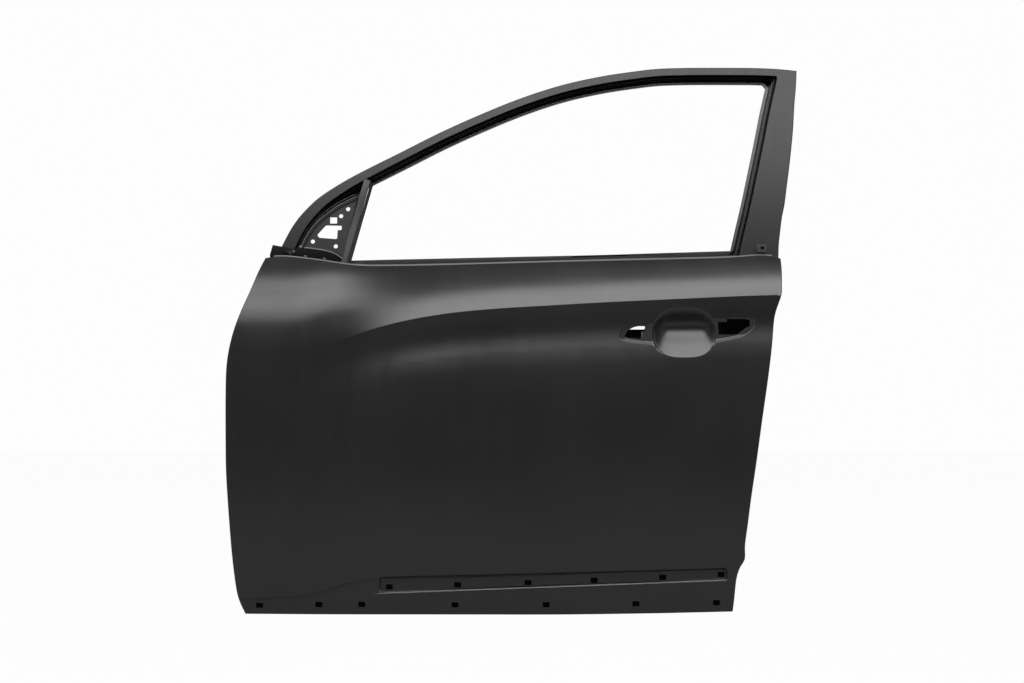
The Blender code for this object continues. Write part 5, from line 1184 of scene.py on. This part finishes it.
for drop in (0.0, HINGE_PITCH):
    for rise in (BOLT_RISE, -BOLT_RISE):
        punch_round(0.0, 0.0, rise - drop, BOLT_RADIUS)
punch_round(0.0, 0.0, HARNESS_Z, HARNESS_RADIUS)
punch_block(0.0, 0.0, -HINGE_PITCH / 2, 0.02, 0.03)
punch_block(LOCK_X, 0.0, LOCK_Z, 0.045, 0.034)
for y, z in ((-0.015, 0.056), (0.015, 0.056), (0.0, 0.004)):
    punch_round(LOCK_X, y, z, SCREW_RADIUS)
mesh = bpy.data.meshes.new("punches")
punch.to_mesh(mesh)
punch.free()
tool = add_object("punches", mesh)
cutter = PAN.modifiers.new("punch", "BOOLEAN")
cutter.operation = "DIFFERENCE"
cutter.object = tool
mesh = apply_modifiers(PAN)
mesh.shade_smooth()
mesh.set_sharp_from_angle(angle=PAN_CREASE)
bpy.data.objects.remove(tool)
settle(PAN, "inner_panel")

# %% [markdown]
# ## Repeated details
# Spot welds and the near-black caps behind the clip holes, which paint the shade seen through
# those holes, repeat one form at many places. Each kind is one node tree: it takes a mesh of
# points with a direction on every point, sets the form there with a little scatter in its size,
# and turns all of it into one mesh. The inputs are named, and the scatter has a fixed seed.

# %% Node tree that sets one form on many points
FORMS = {"dome": "GeometryNodeMeshUVSphere", "cap": "GeometryNodeMeshCube"}
SCATTER, SEED = 0.08, 4


def repeat_tree(name, form):
    tree = bpy.data.node_groups.new(name, "GeometryNodeTree")
    sockets = tree.interface
    sockets.new_socket("Points", in_out="INPUT", socket_type="NodeSocketGeometry")
    for label, kind, value in (("Size", "Vector", (0.005, 0.005, 0.001)),
                               ("Scatter", "Float", SCATTER), ("Seed", "Int", SEED),
                               ("Finish", "Material", None)):
        socket = sockets.new_socket(label, in_out="INPUT", socket_type="NodeSocket" + kind)
        if value is not None:
            socket.default_value = value
    sockets.new_socket("Geometry", in_out="OUTPUT", socket_type="NodeSocketGeometry")
    link = tree.links.new
    given = add_node(tree, "NodeGroupInput")
    shape = add_node(tree, FORMS[form])
    if form == "dome":
        for label, value in (("Segments", 16), ("Rings", 8), ("Radius", 0.5)):
            shape.inputs[label].default_value = value
    aim = add_node(tree, "GeometryNodeInputNamedAttribute", Name="aim")
    aim.data_type = "FLOAT_VECTOR"
    align = add_node(tree, "FunctionNodeAlignRotationToVector")
    align.axis = "Z"
    spread = add_node(tree, "FunctionNodeRandomValue")
    spread.data_type = "FLOAT"
    low = math_node(tree, "SUBTRACT", 1.0)
    high = math_node(tree, "ADD", 1.0)
    grow = add_node(tree, "ShaderNodeVectorMath")
    grow.operation = "SCALE"
    place = add_node(tree, "GeometryNodeInstanceOnPoints")
    real = add_node(tree, "GeometryNodeRealizeInstances")
    paint = add_node(tree, "GeometryNodeSetMaterial")
    out = add_node(tree, "NodeGroupOutput")
    fresh = [s for s in spread.outputs if s.type == "VALUE" and s.enabled][0]
    least, most = [s for s in spread.inputs if s.type == "VALUE"][:2]
    heading = [s for s in aim.outputs if s.type == "VECTOR" and s.enabled][0]
    link(low.outputs[0], least)
    link(high.outputs[0], most)
    link(fresh, grow.inputs["Scale"])
    link(heading, align.inputs["Vector"])
    for source, socket, target, into in (
            (given, "Scatter", low, 1), (given, "Scatter", high, 1),
            (given, "Seed", spread, "Seed"), (given, "Size", grow, 0),
            (given, "Points", place, "Points"), (shape, "Mesh", place, "Instance"),
            (align, 0, place, "Rotation"), (grow, 0, place, "Scale"),
            (place, "Instances", real, "Geometry"), (real, "Geometry", paint, "Geometry"),
            (given, "Finish", paint, "Material"), (paint, "Geometry", out, "Geometry")):
        join(tree, source, socket, target, into)
    return tree


TREES = {form: repeat_tree("repeat_" + form, form) for form in FORMS}

# %% Piece with one form at many places
def repeated(name, form, places, aims, size, material, slot="primed_steel",
             scatter=SCATTER):
    """One plain mesh with the form at every place, its own up axis along the aim."""
    mesh = bpy.data.meshes.new(name + "_points")
    mesh.from_pydata([tuple(p) for p in places], [], [])
    heading = mesh.attributes.new("aim", "FLOAT_VECTOR", "POINT")
    heading.data.foreach_set("vector", np.resize(np.array(aims, np.float32), len(places) * 3))
    item = add_object(name, mesh)
    nodes = item.modifiers.new("repeat", "NODES")
    nodes.node_group = TREES[form]
    for label, value in (("Size", size), ("Scatter", scatter), ("Seed", SEED),
                         ("Finish", material)):
        nodes[TREES[form].interface.items_tree[label].identifier] = value
    item.update_tag()
    mesh = apply_modifiers(item)
    if form == "dome":
        mesh.shade_smooth()
    else:
        mesh.shade_flat()
    settle(item, slot=slot)


def spaced(path, pitch):
    """Places along a path at an even pitch."""
    run = [0.0]
    for start, end in zip(path, path[1:]):
        run.append(run[-1] + math.dist(start, end))
    marks = np.arange(pitch / 2, run[-1], pitch)
    x, z = np.array(path).T
    return [(float(np.interp(m, run, x)), float(np.interp(m, run, z))) for m in marks]


print("node trees:", sorted(TREES))

# %% [markdown]
# ## Small pieces
# A flange closes the slit above the belt roll, and a light grey strip runs along the foot of
# the cladding recess as a painted highlight on that edge. The clip at the belt's end and the
# bracket behind the front pocket are small stampings with a square eye. They use the press and
# the sweep from above.

# %% Belt flange and recess edge
FLANGE = in_mm((-5.8, 10), (6, 10), (6, 11), (-5.8, 11))
RECESS_HIGHLIGHT_PROFILE = in_mm((0.1, 0.6), (0, -0.2), (1, -0.5), (2, -0.1), (2.2, 0.8))
RECESS_FOOT = smooth_path([(0.2724, -0.49), (0.2722, -0.4955), (0.2748, -0.4988),
                           (0.283, -0.4987), (0.6, -0.48665), (0.969, -0.4727)], 0.004)
belt_line = [p for p in BELT_RUN if 0.235 < p[0] < 0.985]
sweep("belt_flange", belt_line, FLANGE, edge_depth, BRACE_FINISH)
# The strip along the recess foot is painted light grey: a painted highlight on the recess edge.
sweep("recess_edge_highlight", RECESS_FOOT, RECESS_HIGHLIGHT_PROFILE, skin_depth, EDGE_HIGHLIGHT_FINISH)

# %% Belt-end clip and handle bracket
CLIP = rounded([(1.0322, 0.1874), (1.052, 0.1874), (1.052, 0.203), (1.0322, 0.2035)], 0.002)
CLIP_EYE = rectangle(1.04, 0.193, 1.0465, 0.1985, 0.001)
CLIP_PROUD, CLIP_BEND, BRACKET_BACK = 0.0011, 0.0008, 0.0052
BRACKET = rectangle(0.7975, 0.008, 0.8175, 0.027, 0.001)
BRACKET_EYE = rectangle(0.8035, 0.015, 0.8115, 0.024, 0.001)


def clip_depth(x, z):
    return plain_depth(x, z) - CLIP_PROUD + CLIP_BEND * ease((z - 0.2) / 0.004)


def bracket_depth(x, z):
    return plain_depth(x, z) + BRACKET_BACK


pressed_sheet("belt_end_clip_fine", CLIP, [CLIP_EYE], [], [(CLIP, 0.005)], clip_depth, 0.0009,
              BAR_FINISH, "belt_end_clip")
pressed_sheet("handle_bracket", BRACKET, [BRACKET_EYE], [], [(BRACKET, 0.004)],
              bracket_depth, BRACE_SHEET, BAR_FINISH)

# %% [markdown]
# The welds stand in rows: round the window ring, along the belt, over the braces and along
# the hem. A long row is a path read at an even pitch, a short one is a list, and the same
# depth rules seat the welds on their pressing.

# %% Spot welds
WELD, GUSSET_WELD = (0.0056, 0.0056, 0.0009), (0.0062, 0.0062, 0.0018)
INBOARD, OUTBOARD, HEM_BACK = (0, 1, 0), (0, -1, 0), 0.0035
ring_row = [p for p in spaced(move_aside(ring_top, 0.0075), 0.046) if p[1] > BELT_Z + 0.01]
belt_row = [(p[0], BELT_Z - 0.032) for p in spaced([(0.09, 0.0), (0.99, 0.0)], 0.05)]
repeated("ring_spot_welds", "dome", placed(floor_depth, ring_row + belt_row), INBOARD, WELD,
         PANEL_FINISH)
brace_row = [(0.018 + dx, dz - drop) for drop in (0.0, HINGE_PITCH)
             for dx in (0.012, 0.03) for dz in (-0.024, 0.024)]
brace_row += [(LOCK_X - dx, LOCK_Z + dz) for dx in (0.02, 0.052) for dz in (-0.03, 0.03)]
repeated("brace_spot_welds", "dome", placed(floor_depth, brace_row), INBOARD, WELD,
         PANEL_FINISH)
hem_row = np.array(spaced(move_aside(LOW_RUN, 0.0072)[3:-3], 0.045))
repeated("hem_spot_welds", "dome",
         placed(edge_depth, hem_row, HEM_BACK * steepness(edge_depth, *hem_row.T)),
         -normals_of(edge_depth, hem_row), WELD, SKIN_FINISH)
gusset_row = [(0.1105, 0.1985), (0.096, 0.189), (0.12, 0.179), (0.158, 0.1745)]
# The gusset welds take the light grey finish: painted highlights on their domes.
repeated("gusset_spot_welds", "dome", placed(gusset_depth, gusset_row, -0.0002), OUTBOARD,
         GUSSET_WELD, EDGE_HIGHLIGHT_FINISH)

# %% Caps of painted shade behind the clip holes and the two eyes
CAP, CAP_BACK, EYE_BACK = (0.017, 0.013, 0.003), 0.0045, 0.0029
clip_mid = [np.mean(hole, 0) for hole in CLIP_HOLES]
cap_places = np.vstack([placed(skin_depth, clip_mid, CAP_BACK),
                        placed(clip_depth, [np.mean(CLIP_EYE, 0)], EYE_BACK),
                        placed(bracket_depth, [np.mean(BRACKET_EYE, 0)], EYE_BACK)])
# Near-black caps just behind each hole and eye: painted shade for the dark cavity seen through
# them.
repeated("clip_hole_shade_caps", "cap", cap_places, OUTBOARD, CAP, HOLE_SHADE_FINISH, "mastic", 0.0)

# %% [markdown]
# ## Floor, backdrop and light
# The door was photographed straight on against pure white. The floor and the backdrop glow
# white to the camera and to reflections only, and the floor keeps a soft shadow. The light on
# the door itself is plain: one wide softbox overhead, which draws the bright line along the
# crease, one behind for the inner side, a weak fill from each side and a grey room.

# %% Floor and backdrop
def seen_mask(tree, coordinates, steep):
    """1 for camera and transmission rays, and for glossy rays that leave to the back."""
    rays = add_node(tree, "ShaderNodeLightPath")
    place = add_node(tree, "ShaderNodeTexCoord")
    split = add_node(tree, "ShaderNodeSeparateXYZ")
    join(tree, place, coordinates, split, 0)
    behind = math_node(tree, "MULTIPLY", (split, "Y"), steep, clamp=True)
    mirrored = math_node(tree, "MULTIPLY", (behind, 0), (rays, "Is Glossy Ray"))
    seen = math_node(tree, "MAXIMUM", (rays, "Is Camera Ray"), (mirrored, 0))
    return math_node(tree, "MAXIMUM", (seen, 0), (rays, "Is Transmission Ray"))


def mix_shaders(tree, share, first, second, output):
    mix = add_node(tree, "ShaderNodeMixShader")
    join(tree, share, 0, mix, 0)
    join(tree, first, 0, mix, 1)
    join(tree, second, 0, mix, 2)
    join(tree, mix, 0, add_node(tree, output), "Surface")


def white_stage(name, glow):
    """White surface: a glow for the rays of the mask over a matt grey."""
    material = bpy.data.materials.new(name)
    material.use_nodes = True
    tree = material.node_tree
    tree.nodes.clear()
    share = math_node(tree, "MULTIPLY", (seen_mask(tree, "Object", 8.0), 0), glow)
    matt = add_node(tree, "ShaderNodeBsdfDiffuse", Color=(0.34, 0.34, 0.34, 1))
    light = add_node(tree, "ShaderNodeEmission", Strength=1.0)
    mix_shaders(tree, share, matt, light, "ShaderNodeOutputMaterial")
    return material


def stage_plane(name, corners, material):
    mesh = bpy.data.meshes.new(name)
    mesh.from_pydata(corners, [], [tuple(range(len(corners)))])
    mesh.materials.append(material)
    add_object(name, mesh)


FLOOR_Z, FLOOR_GLOW = -0.5425, 0.97
stage_plane("floor", [(x, y, FLOOR_Z) for x, y in ((-9, -1.4), (10, -1.4), (10, 9), (-9, 9))],
            white_stage("floor_white", FLOOR_GLOW))
print("floor at", FLOOR_Z)

# %% World and lamps
world = bpy.data.worlds.new("grey_room")
bpy.context.scene.world = world
world.use_nodes = True
tree = world.node_tree
tree.nodes.clear()
room = add_node(tree, "ShaderNodeBackground", Color=(0.62, 0.62, 0.63, 1), Strength=0.22)
white = add_node(tree, "ShaderNodeBackground", Color=(0.985, 0.985, 0.985, 1))
mix_shaders(tree, seen_mask(tree, "Generated", 6.0), room, white, "ShaderNodeOutputWorld")


def softbox(name, place, aim, size, radiance):
    """Area lamp with an even radiance over its face."""
    lamp = bpy.data.lights.new(name, "AREA")
    lamp.shape = "RECTANGLE"
    lamp.size, lamp.size_y = size
    lamp.energy = radiance * math.pi * size[0] * size[1]
    item = add_object(name, lamp)
    item.location = place
    item.rotation_euler = (Vector(aim) - Vector(place)).to_track_quat("-Z", "Y").to_euler()


softbox("overhead_box", (0.53, -1.5, 2.4), (0.53, -1.5, 0.0), (4.4, 2.6), 4.6)
softbox("rear_box", (0.53, 2.6, 2.7), (0.53, 0.2, 0.0), (4.0, 1.6), 2.6)
softbox("left_fill", (-3.4, -1.6, 0.9), (0.5, 0.0, 0.0), (1.0, 2.0), 0.5)
softbox("right_fill", (4.4, -1.6, 0.9), (0.5, 0.0, 0.0), (1.0, 2.0), 0.5)

# %% [markdown]
# The camera stands square to the door, level with the upper hinge, far enough back that the
# window frame, which lies deeper than the skin, keeps the size it has in the photograph.

# %% Camera and view
camera = bpy.data.cameras.new("camera")
camera.lens = 105.5
camera.sensor_width = 36.0
eye = add_object("camera", camera)
eye.location = (0.538, -6.07, 0.007)
eye.rotation_euler = (math.pi / 2, 0, 0)
bpy.context.scene.camera = eye
bpy.context.scene.view_settings.view_transform = "Standard"
